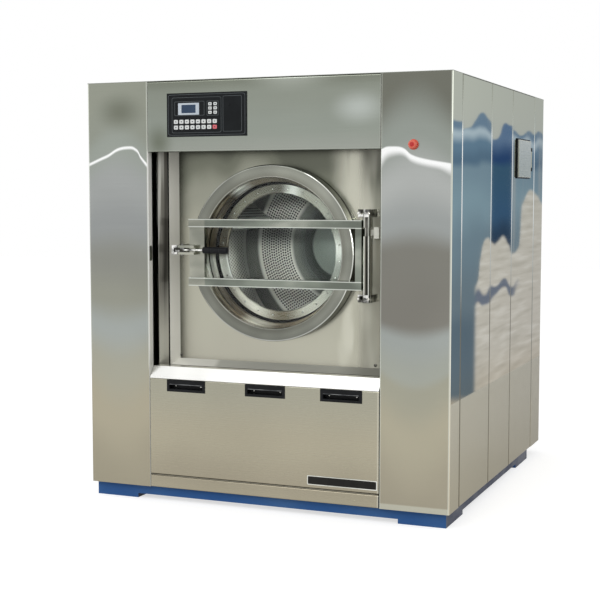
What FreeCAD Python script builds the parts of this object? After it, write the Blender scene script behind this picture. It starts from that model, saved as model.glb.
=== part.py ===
import FreeCAD, Part
import Sketcher
import math
import os

# A soft-mounted washer-extractor of the 100 kg class, in millimetres.
# X runs to the machine's right, Y to its back, Z up from the floor.
# The origin lies on the floor, midway between the four anchor holes.

# Driving dimensions. Setbacks are measured back from the cabinet's front plane.
SIZES = {
    # cabinet
    "cabinet_width": 1900,
    "cabinet_depth": 1980,
    "cabinet_height": 2100,
    "sheet": 2,
    "roof_thickness": 3,
    "bend_radius": 6,
    "edge_radius": 4,
    "tray_depth": 20,
    "seam_gap": 4,
    "panel_floor_gap": 69,
    "opening_width": 1216,
    "column_return": 172,
    "column_lip": 38,
    "front_panel_depth": 556,
    "middle_panel_depth": 460,
    "rear_panel_depth": 548,
    "rear_corner_width": 250,
    "fascia_height": 348,
    "fascia_lower_return": 60,
    "kick_height": 132,
    "sill_height": 625,
    "lip_rise": 57,
    "lip_setback": 40,
    "lip_shelf": 55,
    "lip_edge": 4,
    # base and skeleton
    "base_rear_gap": 238,
    "base_height": 100,
    "base_inset": 20,
    "base_setback": 25,
    "base_rail": 80,
    "base_wall": 8,
    "foot_thickness": 22,
    "foot_width": 235,
    "foot_length": 290,
    "anchor_inset_across": 160,
    "anchor_inset_along": 143.5,
    "anchor_radius": 11,
    "post_width": 40,
    "post_depth": 50,
    "post_wall": 4,
    "sill_rail_setback": 45,
    # controls
    "control_left": 497,
    "control_width": 431,
    "control_height": 212,
    "control_top_margin": 64,
    "control_plate": 4,
    "control_box_depth": 60,
    "control_border": 15,
    "fit_gap": 0.3,
    "display_width": 114,
    "display_height": 57,
    "display_inset_across": 63,
    "display_inset_down": 49,
    "display_thickness": 1.5,
    "stop_inset": 183,
    "stop_drop": 330,
    "stop_stem_radius": 8,
    "stop_barrel_radius": 11,
    "stop_barrel_length": 30,
    "stop_head_radius": 20,
    "stop_head_depth": 18,
    "stop_bezel_radius": 24,
    "stop_bezel": 5,
    "stop_travel": 4,
    "running_gap": 0.06,
    # panel pulls
    "pull_width": 211,
    "pull_height": 60,
    "pull_drop": 3,
    "pull_flange": 3,
    "pull_border": 10,
    "pull_wall": 3,
    "pull_depth": 30,
    "pull_grip_lip": 12,
    "pull_left_across": -405,
    "pull_middle_across": 24,
    "pull_right_across": 418,
    # soap hatch on the right side
    "hatch_setback": 1288.5,
    "hatch_width": 300,
    "hatch_drop": 260,
    "hatch_height": 203,
    "hatch_frame_thickness": 6,
    "hatch_frame_overlap": 7,
    "hatch_frame_band": 24,
    "hatch_lid_depth": 8,
    "hatch_pin_radius": 3,
    "hatch_barrel_radius": 6,
    "hatch_barrel_length": 90,
    "hatch_lug": 20,
    "hatch_hinge_gap": 1.5,
    "hopper_depth": 150,
    # tub and its suspension
    "axis_height": 1255,
    "tub_radius": 690,
    "tub_wall": 5,
    "tub_front_setback": 230,
    "tub_rear_wall": 12,
    "tub_rear_space": 50,
    "plate_setback": 203,
    "plate_side_inset": 68,
    "plate_lip_gap": 23,
    "plate_fascia_cover": 48,
    "flange_rise": 51,
    "flange_splay": 32,
    "neck_radius": 352,
    "neck_wall": 4,
    "trim_rise": 49,
    "cradle_beam_across": 520,
    "cradle_beam_width": 80,
    "cradle_beam_height": 100,
    "cradle_plate": 12,
    "saddle_thickness": 20,
    "saddle_half_width": 620,
    "saddle_base": 20,
    "saddle_height": 400,
    "saddle_front_inset": 133.5,
    "saddle_rear_inset": 109.5,
    "spring_front_inset": 173.5,
    "spring_rear_inset": 259.5,
    "spring_height": 199.4,
    "spring_radius": 110,
    "spring_pad": 220,
    # drum, shaft and drive
    "drum_clearance": 66,
    "drum_wall": 4,
    "drum_front_setback": 285,
    "drum_length": 900,
    "drum_back": 8,
    "drum_cap_radius": 250,
    "drum_cap_rise": 45,
    "drum_cap_slope": 70,
    "mouth_setback": 250,
    "mouth_radius": 293.5,
    "mouth_rim_radius": 343,
    "mouth_lip": 15,
    "lifter_root": 160,
    "lifter_crest": 60,
    "lifter_height": 120,
    "lifter_angle": 165,
    "lifter_sheet": 3,
    "spider_hub_radius": 95,
    "spider_depth": 38,
    "spider_arm": 90,
    "spider_rim_gap": 19,
    "shaft_radius": 60,
    "shaft_nose_radius": 45,
    "shaft_tail_radius": 50,
    "bearing_radius": 110,
    "bearing_width": 50,
    "housing_radius": 150,
    "housing_flange_radius": 300,
    "housing_flange": 20,
    "housing_rib": 16,
    "pulley_radius": 330,
    "pulley_width": 110,
    "pulley_rim": 30,
    "pulley_web": 20,
    "pulley_hub_radius": 95,
    "pulley_gap": 65,
    "pulley_rear_gap": 82,
    "pulley_hole_radius": 60,
    "pulley_hole_circle": 200,
    "motor_radius": 138,
    "motor_tub_gap": 63,
    "motor_bell": 15,
    "motor_shaft_radius": 24,
    "motor_pulley_radius": 80,
    "belt_thickness": 8,
    "belt_width": 90,
    # water connections
    "drain_setback": 983.5,
    "drain_radius": 52,
    "drain_spigot_radius": 55,
    "drain_wall": 4,
    "drain_height": 180,
    "drain_valve": 150,
    "drain_top": 440,
    "drain_stub": 55,
    "boot_gap": 5,
    "boot_wall": 6,
    "boot_low": 400,
    "inlet_radius": 24,
    "inlet_neck_radius": 22,
    "inlet_bore": 19,
    "inlet_drop": 300,
    "inlet_right_across": -270,
    "inlet_spacing": 150,
    "inlet_flange_radius": 38,
    "inlet_valve_length": 110,
    # door
    "door_setback": 127,
    "door_radius": 434,
    "door_inner_radius": 371,
    "door_rim": 66,
    "door_sheet": 3,
    "door_well": 43,
    "door_ledge": 11,
    "door_edge_radius": 5,
    "glass_thickness": 10,
    "gasket_width": 46,
    "gasket_depth": 30,
    "bar_setback": 86,
    "bar_height": 40,
    "bar_spacing": 293,
    "bar_left": 430,
    "bar_right": 455,
    "left_plate_width": 83,
    "left_plate_recess": 12,
    "hinge_across": 510,
    "hinge_radius": 23,
    "hinge_pin_radius": 12,
    "hinge_sleeve_low": 1067,
    "hinge_sleeve_high": 1346,
    "hinge_collar_high": 1386.5,
    "hinge_knuckle_high": 1437,
    "hinge_collar_radius": 17,
    "hinge_bracket_height": 36,
    "hinge_bracket_inner": 48,
    "switch_across": 542,
    "switch_width": 24,
    "switch_low": 1335,
    "switch_height": 54,
    "switch_depth": 40,
    "switch_leg": 12,
    "switch_leg_inset": 10,
    # latch
    "lever_height": 1267,
    "lever_rod_radius": 6,
    "lever_standoff": 8,
    "lever_pivot_across": 460,
    "lever_eye_radius": 15,
    "lever_eye_height": 21.4,
    "lever_nose": 35,
    "lever_nose_width": 16,
    "grip_start": 343,
    "grip_length": 134,
    "grip_radius": 16.5,
    "grip_groove": 2,
    "ear_thickness": 12,
    "ear_reach": 18,
    "ear_width": 42,
    "latch_pin_over": 7,
    "saddle_block_across": 401,
    "saddle_block_width": 30,
    "saddle_block_height": 35,
    "keeper_gap": 3,
    "keeper_prong": 31,
    "keeper_web": 12,
}
LIFTER_COUNT = 3
SPIDER_ARMS = 3
PULLEY_HOLES = 3
HOUSING_RIBS = 6
GRIP_RIBS = 3
FULL_TURN = 360
# shares of a named length
LIP_SLOPE = 1.5
DOME_REACH = 0.8
DOME_DROP = 0.1
DOME_SHOULDER = 0.45
FOOT_GAPS = 1.5
SOFT_MIDDLE = 0.3
ROD_IN_GRIP = 0.8

doc = FreeCAD.newDocument("washer_extractor")
sheet = doc.addObject("Spreadsheet::Sheet", "Sizes")
for row, (alias, number) in enumerate(SIZES.items(), start=1):
    sheet.set(f"A{row}", alias)
    sheet.set(f"B{row}", str(number))
    sheet.setAlias(f"B{row}", alias)
doc.recompute()


class Size:
    """A dimension: its present value and the sheet formula that gives it."""

    def __init__(self, value, formula):
        self.value = float(value)
        self.formula = formula

    def __add__(self, other):
        other = as_size(other)
        return Size(self.value + other.value, f"({self.formula} + {other.formula})")

    def __sub__(self, other):
        other = as_size(other)
        return Size(self.value - other.value, f"({self.formula} - {other.formula})")

    def __mul__(self, factor):
        factor = as_size(factor)
        return Size(self.value * factor.value, f"({self.formula} * {factor.formula})")

    def __truediv__(self, divisor):
        divisor = as_size(divisor)
        return Size(self.value / divisor.value, f"({self.formula} / {divisor.formula})")

    def __neg__(self):
        return Size(-self.value, f"(0 - {self.formula})")

    def __radd__(self, other):
        return as_size(other) + self

    def __rsub__(self, other):
        return as_size(other) - self


def as_size(number):
    """A plain number as a Size, so that it can stand in a formula."""
    if isinstance(number, Size):
        return number
    return Size(number, f"({float(number)})")


class Sizes:
    """Every cell of the sheet as an attribute of its own name."""

    def __init__(self, cells):
        for alias in cells:
            setattr(self, alias, Size(cells_value(alias), f"Sizes.{alias}"))


def cells_value(alias):
    """The number that a cell holds."""
    return float(sheet.get(alias))


s = Sizes(SIZES)
zero = as_size(0)
nodes = []


def keep(piece, label):
    """Name a finished piece and put it on the list of nodes."""
    piece.Label = label
    nodes.append(piece)
    return piece


def bind(piece, **properties):
    """Tie a piece's properties to the sheet."""
    for name, size in properties.items():
        piece.setExpression(name, as_size(size).formula)


def place(piece, across, along, up):
    """Tie a piece's position to the sheet."""
    for axis, size in zip("xyz", (across, along, up)):
        piece.setExpression(f"Placement.Base.{axis}", as_size(size).formula)


def block(across, along, up):
    """A rectangular block between three (low, high) pairs."""
    piece = doc.addObject("Part::Box", "block")
    bind(piece, Length=across[1] - across[0], Width=along[1] - along[0], Height=up[1] - up[0])
    place(piece, across[0], along[0], up[0])
    return piece


AXIS_TURNS = {
    "x": FreeCAD.Rotation(FreeCAD.Vector(0, 1, 0), 90),
    "y": FreeCAD.Rotation(FreeCAD.Vector(1, 0, 0), -90),
    "z": FreeCAD.Rotation(),
}


def rod(axis, radius, start, length):
    """A round bar along one axis from its start point."""
    piece = doc.addObject("Part::Cylinder", "rod")
    piece.Placement = FreeCAD.Placement(FreeCAD.Vector(), AXIS_TURNS[axis])
    bind(piece, Radius=radius, Height=length)
    place(piece, *start)
    return piece


def joined(pieces):
    """Pieces welded into one solid."""
    piece = doc.addObject("Part::MultiFuse", "joined")
    piece.Shapes = pieces
    piece.Refine = True
    return piece


def cut_from(base, tools):
    """The base with every tool cut out of it."""
    piece = doc.addObject("Part::Cut", "cut")
    piece.Base = base
    piece.Tool = tools[0] if len(tools) == 1 else joined(tools)
    return piece


def grouped(pieces):
    """Like pieces kept as separate solids of one node."""
    piece = doc.addObject("Part::Compound", "group")
    piece.Links = pieces
    return piece


def moved_copy(piece, turn_angle, axis_up):
    """A copy turned about the drum axis, tied to its original."""
    copy = doc.addObject("Part::Compound", "copy")
    copy.Links = [piece]
    centre = FreeCAD.Vector(0, 0, axis_up.value)
    turn = FreeCAD.Rotation(FreeCAD.Vector(0, 1, 0), turn_angle)
    copy.Placement = FreeCAD.Placement(FreeCAD.Vector(), turn, centre)
    return copy


def origin_plane(body, role):
    """One of a body's own origin planes."""
    return [feature for feature in body.Origin.OriginFeatures if feature.Role == role][0]


def outline(body, role, points):
    """A closed sketch through points, each corner tied to the sheet."""
    sketch = body.newObject("Sketcher::SketchObject", "outline")
    sketch.AttachmentSupport = (origin_plane(body, role), [""])
    sketch.MapMode = "FlatFace"
    corners = [(as_size(first), as_size(second)) for first, second in points]
    vectors = [FreeCAD.Vector(first.value, second.value, 0) for first, second in corners]
    count = len(corners)
    lines = [Part.LineSegment(vectors[i], vectors[(i + 1) % count]) for i in range(count)]
    sketch.addGeometry(lines, False)
    rules = [Sketcher.Constraint("Coincident", i, 2, (i + 1) % count, 1) for i in range(count)]
    for i, (first, second) in enumerate(corners):
        rules.append(Sketcher.Constraint("DistanceX", -1, 1, i, 1, first.value))
        rules.append(Sketcher.Constraint("DistanceY", -1, 1, i, 1, second.value))
    sketch.addConstraint(rules)
    for i, (first, second) in enumerate(corners):
        sketch.setExpression(f"Constraints[{count + 2 * i}]", first.formula)
        sketch.setExpression(f"Constraints[{count + 2 * i + 1}]", second.formula)
    return sketch


def turned(axis, profile, centre):
    """A body of revolution; the profile holds (radius, position along the axis) pairs."""
    body = doc.addObject("PartDesign::Body", "turned")
    if axis == "x":
        sketch = outline(body, "XY_Plane", [(along, radius) for radius, along in profile])
        line = "H_Axis"
    else:
        sketch = outline(body, {"y": "XY_Plane", "z": "XZ_Plane"}[axis], profile)
        line = "V_Axis"
    revolution = body.newObject("PartDesign::Revolution", "revolution")
    revolution.Profile = sketch
    revolution.ReferenceAxis = (sketch, [line])
    revolution.Angle = FULL_TURN
    place(body, *centre)
    return body


def padded(role, points, length, start):
    """A body pushed out of one outline, starting from a point."""
    body = doc.addObject("PartDesign::Body", "padded")
    sketch = outline(body, role, points)
    pad = body.newObject("PartDesign::Pad", "pad")
    pad.Profile = sketch
    bind(pad, Length=length)
    place(body, *start)
    return body


def soften(body, radius, wanted):
    """Round the edges of a body that the test picks out."""
    doc.recompute()
    tip = body.Tip
    names = [f"Edge{i}" for i, edge in enumerate(tip.Shape.Edges, start=1) if wanted(edge)]
    fillet = body.newObject("PartDesign::Fillet", "fillet")
    fillet.Base = (tip, names)
    bind(fillet, Radius=radius)
    body.Tip = fillet
    return body


def near(first, second):
    """Whether two lengths agree."""
    return abs(first - second) < 1e-4


def folded(path, turn):
    """The section of a sheet bent along a square path; turn is +1 to the left, -1 to the right."""
    inner = []
    count = len(path)
    for i, (first, second) in enumerate(path):
        shift = [0, 0]
        for start, end in ((i - 1, i), (i, i + 1)):
            if start < 0 or end >= count:
                continue
            run = path[end][0].value - path[start][0].value
            rise = path[end][1].value - path[start][1].value
            step = math.hypot(run, rise)
            shift[0] += round(-rise / step) * turn
            shift[1] += round(run / step) * turn
        inner.append((first + s.sheet * shift[0], second + s.sheet * shift[1]))
    return path + inner[::-1], path[1:-1], inner[1:-1]


def bent_panel(role, path, turn, length, start):
    """A bent sheet pushed out along its length, with every bend rounded."""
    section, outside, inside = folded(path, turn)
    body = padded(role, section, length, start)
    flat = {"XY_Plane": (0, 1), "YZ_Plane": (1, 2)}[role]

    def along_bend(corners):
        def wanted(edge):
            ends = [vertex.Point for vertex in edge.Vertexes]
            if len(ends) != 2:
                return False
            for first, second in corners:
                if all(near(end[flat[0]], first.value) and near(end[flat[1]], second.value) for end in ends):
                    return True
            return False
        return wanted

    soften(body, s.bend_radius + s.sheet, along_bend(outside))
    soften(body, s.bend_radius, along_bend(inside))
    return body


def tray(across, along, up, face):
    """A shallow sheet pan with rounded outer edges, open on the side away from its face."""
    outer = block(across, along, up)
    doc.recompute()
    axis = "xyz".index(face[1])
    level = (across, along, up)[axis][1 if face[0] == "+" else 0].value
    picks = []
    for i, edge in enumerate(outer.Shape.Edges, start=1):
        if all(near(vertex.Point[axis], level) for vertex in edge.Vertexes):
            picks.append((i, s.edge_radius.value, s.edge_radius.value))
    softened = doc.addObject("Part::Fillet", "softened")
    softened.Base = outer
    softened.Edges = picks
    spans = []
    for i, (low, high) in enumerate((across, along, up)):
        if i != axis:
            spans.append((low + s.sheet, high - s.sheet))
        elif face[0] == "+":
            spans.append((low - s.sheet, high - s.sheet))
        else:
            spans.append((low + s.sheet, high + s.sheet))
    return cut_from(softened, [block(*spans)])


# Reference planes that several pieces share.
half = s.cabinet_width / 2
base_length = s.cabinet_depth - s.base_setback - s.base_rear_gap
front = -(base_length / 2 + s.base_setback)
rear = front + s.cabinet_depth
panel_low = s.panel_floor_gap
panel_high = s.cabinet_height - s.roof_thickness
panel_height = panel_high - panel_low
side_seat = half - s.tray_depth
opening_half = s.opening_width / 2
half_gap = s.seam_gap / 2
column_seam = front + s.column_return
middle_seam = column_seam + s.front_panel_depth
rear_seam = middle_seam + s.middle_panel_depth
corner_seam = rear_seam + s.rear_panel_depth
base_top = s.foot_thickness + s.base_height
axis_up = s.axis_height
on_axis = (zero, zero, axis_up)
tub_outer = s.tub_radius + s.tub_wall
tub_bottom = axis_up - tub_outer
drain_along = front + s.drain_setback
tub_front = front + s.tub_front_setback
drum_outer = s.tub_radius - s.drum_clearance
drum_inner = drum_outer - s.drum_wall
drum_front = front + s.drum_front_setback
drum_rear = drum_front + s.drum_length
drum_end = drum_rear + s.drum_back
tub_rear = drum_end + s.tub_rear_space
tub_end = tub_rear + s.tub_rear_wall
pulley_back = rear - s.tray_depth - s.pulley_rear_gap
pulley_front = pulley_back - s.pulley_width
housing_end = pulley_front - s.pulley_gap


def both_sides(low, high):
    """A span on the right side and its mirror on the left."""
    return [(low, high), (-high, -low)]


# Base: a welded rail frame on four anchored feet, with open-bottomed pedestals under the air springs.
base_half = half - s.base_inset
base_end = base_length / 2
base_span = (-base_half, base_half)
base_levels = (s.foot_thickness, base_top)
spring_rows = [tub_front + s.spring_front_inset, housing_end - s.spring_rear_inset]
beam_top = tub_bottom - s.saddle_base
beam_low = beam_top - s.cradle_beam_height
spring_seat = beam_low - s.spring_height - s.fit_gap * 2
rail_hollow = (s.foot_thickness - s.base_wall, base_top - s.base_wall)
rail_in = base_half - s.base_rail
cross_rails = [(-base_end, s.base_rail - base_end), (base_end - s.base_rail, base_end)]
cross_rails += [(row - s.spring_pad / 2, row + s.spring_pad / 2) for row in spring_rows]
base_pieces = []
base_hollows = []
for side in both_sides(rail_in, base_half):
    base_pieces.append(block(side, (-base_end, base_end), base_levels))
    hollow_side = (side[0] + s.base_wall, side[1] - s.base_wall)
    base_hollows.append(block(hollow_side, (s.base_wall - base_end, base_end - s.base_wall), rail_hollow))
for rail in cross_rails:
    base_pieces.append(block(base_span, rail, base_levels))
    hollow_rail = (rail[0] + s.base_wall, rail[1] - s.base_wall)
    base_hollows.append(block((-rail_in, rail_in), hollow_rail, rail_hollow))
pad_low = s.cradle_beam_across - s.spring_pad / 2
pad_high = s.cradle_beam_across + s.spring_pad / 2
pedestal_hollow = (base_top - s.base_wall, spring_seat - s.base_wall)
welded_base = [cut_from(joined(base_pieces), base_hollows)]
for rail in cross_rails[2:]:
    for pad_span in both_sides(pad_low, pad_high):
        pedestal = block(pad_span, rail, (base_top, spring_seat))
        hollow_pad = (pad_span[0] + s.base_wall, pad_span[1] - s.base_wall)
        hollow_rail = (rail[0] + s.base_wall, rail[1] - s.base_wall)
        welded_base.append(cut_from(pedestal, [block(hollow_pad, hollow_rail, pedestal_hollow)]))
keep(grouped(welded_base), "base_frame")

feet = []
anchor_across = base_half - s.anchor_inset_across
anchor_along = base_end - s.anchor_inset_along
foot_spans = both_sides(base_half - s.foot_width, base_half)
foot_runs = both_sides(base_end - s.foot_length, base_end)
for foot_span, hole_across in zip(foot_spans, (anchor_across, -anchor_across)):
    for foot_run, hole_along in zip(foot_runs, (anchor_along, -anchor_along)):
        foot = block(foot_span, foot_run, (zero, s.foot_thickness))
        hole_start = (hole_across, hole_along, -s.foot_thickness)
        feet.append(cut_from(foot, [rod("z", s.anchor_radius, hole_start, s.foot_thickness * 3)]))
keep(grouped(feet), "foot_pads")

# Cabinet skeleton: four posts a side, top rails and a sill rail behind the lower panel.
post_in = side_seat - s.post_width
half_post = s.post_depth / 2
top_rail = (panel_high - s.post_width, panel_high)
sill_rail_top = s.sill_height - s.sheet
sill_rail = (sill_rail_top - s.post_width, sill_rail_top)
sill_rail_front = front + s.sill_rail_setback
skeleton = []
channels = []
post_room = half_post - s.post_wall
for post_span, channel_span in zip(
    both_sides(post_in, side_seat),
    both_sides(post_in - s.post_wall, side_seat - s.post_wall),
):
    for seam in (column_seam, middle_seam, rear_seam, corner_seam):
        skeleton.append(block(post_span, (seam - half_post, seam + half_post), (base_top, panel_high)))
        channel_up = (base_top + s.post_wall, top_rail[0] - s.post_wall)
        channels.append(block(channel_span, (seam - post_room, seam + post_room), channel_up))
    skeleton.append(block(post_span, (column_seam - half_post, corner_seam + half_post), top_rail))
    skeleton.append(block(post_span, (sill_rail_front, column_seam), sill_rail))
for seam in (column_seam, corner_seam):
    skeleton.append(block((-side_seat, side_seat), (seam - half_post, seam + half_post), top_rail))
skeleton.append(block((-side_seat, side_seat), (sill_rail_front, sill_rail_front + s.post_width), sill_rail))
keep(cut_from(joined(skeleton), channels), "cabinet_frame")

# Front columns: bent channels with a deep side return and a lip at the loading opening,
# which is notched over the base.
lip_end = front + s.column_lip
column_path = [
    (side_seat, column_seam - half_gap),
    (half, column_seam - half_gap),
    (half, front),
    (opening_half, front),
    (opening_half, lip_end),
]
notch_spans = both_sides(opening_half - s.sheet, opening_half + s.sheet * 2)
notch_run = (front + s.base_setback - s.fit_gap, lip_end + s.sheet)
notch_up = (panel_low - s.sheet, base_top + s.fit_gap)
base_notches = [block(span, notch_run, notch_up) for span in notch_spans]
right_column = bent_panel("XY_Plane", column_path, -1, panel_height, (zero, zero, panel_low))
stop_across = half - s.stop_inset
stop_up = s.cabinet_height - s.stop_drop
stop_centre = (stop_across, front, stop_up)
stop_hole = rod("y", s.stop_barrel_radius + s.fit_gap, (stop_across, front - s.sheet, stop_up), s.sheet * 3)
keep(cut_from(right_column, [stop_hole, base_notches[0]]), "right_front_column")
mirrored_path = [(-first, second) for first, second in column_path]
left_column = bent_panel("XY_Plane", mirrored_path, 1, panel_height, (zero, zero, panel_low))
keep(cut_from(left_column, [base_notches[1]]), "left_front_column")

# Control fascia across the top of the opening, bent back at top and bottom.
fascia_low = s.cabinet_height - s.fascia_height
between = opening_half - half_gap
fascia_path = [
    (column_seam - half_post, panel_high),
    (front, panel_high),
    (front, fascia_low),
    (front + s.fascia_lower_return, fascia_low),
]
fascia = bent_panel("YZ_Plane", fascia_path, 1, between * 2, (-between, zero, zero))
control_span = (-s.control_left, s.control_width - s.control_left)
control_top = s.cabinet_height - s.control_top_margin
control_up = (control_top - s.control_height, control_top)
box_span = (control_span[0] + s.control_border, control_span[1] - s.control_border)
box_up = (control_up[0] + s.control_border, control_up[1] - s.control_border)
box_hole = block(
    (box_span[0] - s.fit_gap, box_span[1] + s.fit_gap),
    (front - s.sheet, front + s.sheet * 3),
    (box_up[0] - s.fit_gap, box_up[1] + s.fit_gap),
)
keep(cut_from(fascia, [box_hole]), "top_fascia")

# Lower front panel, its removable pulls, the kick strip and the sloping sill lip.
panel_bottom = s.kick_height + s.seam_gap
lower_path = [
    (sill_rail_front + s.post_width, s.sill_height),
    (front, s.sill_height),
    (front, panel_bottom),
    (sill_rail_front, panel_bottom),
]
lower_panel = bent_panel("YZ_Plane", lower_path, 1, between * 2, (-between, zero, zero))
pull_top = s.sill_height - s.pull_drop
pull_bottom = pull_top - s.pull_height
pulls = []
pull_holes = []
for pull_across in (s.pull_left_across, s.pull_middle_across, s.pull_right_across):
    span = (pull_across - s.pull_width / 2, pull_across + s.pull_width / 2)
    cup_span = (span[0] + s.pull_border, span[1] - s.pull_border)
    cup_up = (pull_bottom + s.pull_border, pull_top - s.pull_border)
    hollow_span = (cup_span[0] + s.pull_wall, cup_span[1] - s.pull_wall)
    hollow_up = (cup_up[0] + s.pull_wall, cup_up[1] - s.pull_wall)
    cup_back = front + s.pull_depth
    flange = block(span, (front - s.pull_flange, front), (pull_bottom, pull_top))
    cup = block(cup_span, (front - s.pull_flange, cup_back), cup_up)
    hollow = block(hollow_span, (front + s.pull_wall, cup_back - s.pull_wall), hollow_up)
    mouth_up = (hollow_up[0], hollow_up[1] - s.pull_grip_lip)
    mouth = block(hollow_span, (front - s.pull_flange * 2, front + s.pull_wall), mouth_up)
    pulls.append(cut_from(joined([flange, cup]), [hollow, mouth]))
    hole_span = (cup_span[0] - s.fit_gap, cup_span[1] + s.fit_gap)
    hole_up = (cup_up[0] - s.fit_gap, cup_up[1] + s.fit_gap)
    pull_holes.append(block(hole_span, (front - s.sheet, front + s.sheet * 2), hole_up))
keep(cut_from(lower_panel, pull_holes), "lower_front_panel")
keep(grouped(pulls), "panel_pulls")

base_front = front + s.base_setback
kick_path = [
    (base_front, s.kick_height),
    (front, s.kick_height),
    (front, panel_low),
    (base_front, panel_low),
]
keep(bent_panel("YZ_Plane", kick_path, 1, between * 2, (-between, zero, zero)), "kick_strip")

lip_top = s.sill_height + s.lip_rise
lip_crest = front + s.lip_setback
lip_back = lip_crest + s.lip_shelf
lip_section = [
    (front, s.sill_height),
    (front, s.sill_height + s.lip_edge),
    (lip_crest, lip_top),
    (lip_back, lip_top),
    (lip_back, lip_top - s.lip_edge),
    (lip_crest + s.lip_edge / 2, lip_top - s.lip_edge),
    (front + s.lip_edge * LIP_SLOPE, s.sill_height),
]
keep(padded("YZ_Plane", lip_section, between * 2, (-between, zero, zero)), "sill_lip")

# Side panels: three pans a side, seated on the posts.
hatch_along = (front + s.hatch_setback, front + s.hatch_setback + s.hatch_width)
hatch_top = s.cabinet_height - s.hatch_drop
hatch_up = (hatch_top - s.hatch_height, hatch_top)
frame_along = (hatch_along[0] - s.hatch_frame_overlap, hatch_along[1] + s.hatch_frame_overlap)
frame_up = (hatch_up[0] - s.hatch_frame_overlap, hatch_up[1] + s.hatch_frame_overlap)
mouth_along = (frame_along[0] + s.hatch_frame_band, frame_along[1] - s.hatch_frame_band)
mouth_up = (frame_up[0] + s.hatch_frame_band, frame_up[1] - s.hatch_frame_band)
side_runs = {
    "front": (column_seam + half_gap, middle_seam - half_gap),
    "middle": (middle_seam + half_gap, rear_seam - half_gap),
    "rear": (rear_seam + half_gap, corner_seam - half_gap),
}
for run_name, run in side_runs.items():
    right_pan = tray((side_seat, half), run, (panel_low, panel_high), "+x")
    if run_name == "rear":
        hatch_hole = block((half - s.tray_depth, half + s.sheet), mouth_along, mouth_up)
        right_pan = cut_from(right_pan, [hatch_hole])
    keep(right_pan, f"right_side_panel_{run_name}")
    left_pan = tray((-half, -side_seat), run, (panel_low, panel_high), "-x")
    keep(left_pan, f"left_side_panel_{run_name}")

# Rear corners wrap the drive space; a pan closes the middle and a flat sheet the top.
rear_half = half - s.rear_corner_width
corner_path = [
    (side_seat, corner_seam + half_gap),
    (half, corner_seam + half_gap),
    (half, rear),
    (rear_half, rear),
    (rear_half, rear - s.tray_depth),
]
corner = bent_panel("XY_Plane", corner_path, 1, panel_height, (zero, zero, panel_low))
keep(corner, "right_rear_corner")
mirrored_corner = [(-first, second) for first, second in corner_path]
corner = bent_panel("XY_Plane", mirrored_corner, -1, panel_height, (zero, zero, panel_low))
keep(corner, "left_rear_corner")

inlet_spots = [s.inlet_right_across, s.inlet_right_across - s.inlet_spacing]
inlet_up = s.cabinet_height - s.inlet_drop
rear_span = (half_gap - rear_half, rear_half - half_gap)
rear_start = rear - s.tray_depth
rear_pan = tray(rear_span, (rear_start, rear), (panel_low, panel_high), "+y")
rear_holes = [rod("y", s.drain_radius + s.fit_gap, (zero, rear_start, s.drain_height), s.tray_depth * 2)]
inlet_hole = s.inlet_neck_radius + s.fit_gap
for inlet_across in inlet_spots:
    rear_holes.append(rod("y", inlet_hole, (inlet_across, rear_start, inlet_up), s.tray_depth * 2))
keep(cut_from(rear_pan, rear_holes), "rear_panel")

keep(block((-half, half), (front, rear), (panel_high, s.cabinet_height)), "roof_panel")

# Control panel with its box behind the fascia, the display window and the emergency stop.
plate = block(control_span, (front - s.control_plate, front), control_up)
control_box = block(box_span, (front - s.control_plate, front + s.control_box_depth), box_up)
keep(joined([plate, control_box]), "control_panel")
window_left = control_span[0] + s.display_inset_across
window_top = control_up[1] - s.display_inset_down
window_face = front - s.control_plate
window = block(
    (window_left, window_left + s.display_width),
    (window_face - s.display_thickness, window_face),
    (window_top - s.display_height, window_top),
)
keep(window, "display_window")

stop_bore = s.stop_stem_radius + s.running_gap
collar_profile = [
    (stop_bore, -s.stop_bezel),
    (s.stop_bezel_radius, -s.stop_bezel),
    (s.stop_bezel_radius, zero),
    (s.stop_barrel_radius, zero),
    (s.stop_barrel_radius, s.stop_barrel_length),
    (stop_bore, s.stop_barrel_length),
]
keep(turned("y", collar_profile, stop_centre), "estop_collar")
head_back = -(s.stop_bezel + s.stop_travel + 1)
head_front = head_back - s.stop_head_depth
button_profile = [
    (zero, head_front),
    (s.stop_head_radius * DOME_REACH, head_front + s.stop_head_depth * DOME_DROP),
    (s.stop_head_radius, head_front + s.stop_head_depth * DOME_SHOULDER),
    (s.stop_head_radius, head_back),
    (s.stop_stem_radius, head_back),
    (s.stop_stem_radius, s.stop_barrel_length - s.stop_bezel),
    (zero, s.stop_barrel_length - s.stop_bezel),
]
keep(turned("y", button_profile, stop_centre), "estop_button")

# Soap hatch: a black frame with hinge lugs and pin, a hinged lid and the hopper behind it.
frame_out = half + s.hatch_frame_thickness
hinge_out = frame_out + s.hatch_lid_depth / 2
hinge_along = frame_along[1] + s.hatch_hinge_gap + s.hatch_barrel_radius
hatch_mid = (hatch_up[0] + hatch_up[1]) / 2
barrel_up = (hatch_mid - s.hatch_barrel_length / 2, hatch_mid + s.hatch_barrel_length / 2)
lug_along = (frame_along[1] - s.hatch_frame_overlap / 4, hinge_along + s.hatch_barrel_radius)
lug_across = (half, hinge_out + s.hatch_barrel_radius)
lug_levels = [
    (barrel_up[0] - s.hatch_lug, barrel_up[0] - s.fit_gap),
    (barrel_up[1] + s.fit_gap, barrel_up[1] + s.hatch_lug),
]
frame_ring = cut_from(
    block((half, frame_out), frame_along, frame_up),
    [block((half - s.sheet, frame_out + s.sheet), mouth_along, mouth_up)],
)
hinge_pin_length = s.hatch_barrel_length + s.hatch_lug * 2
hatch_pin_start = (hinge_out, hinge_along, barrel_up[0] - s.hatch_lug)
hatch_pin = rod("z", s.hatch_pin_radius, hatch_pin_start, hinge_pin_length)
lugs = [block(lug_across, lug_along, levels) for levels in lug_levels]
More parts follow.
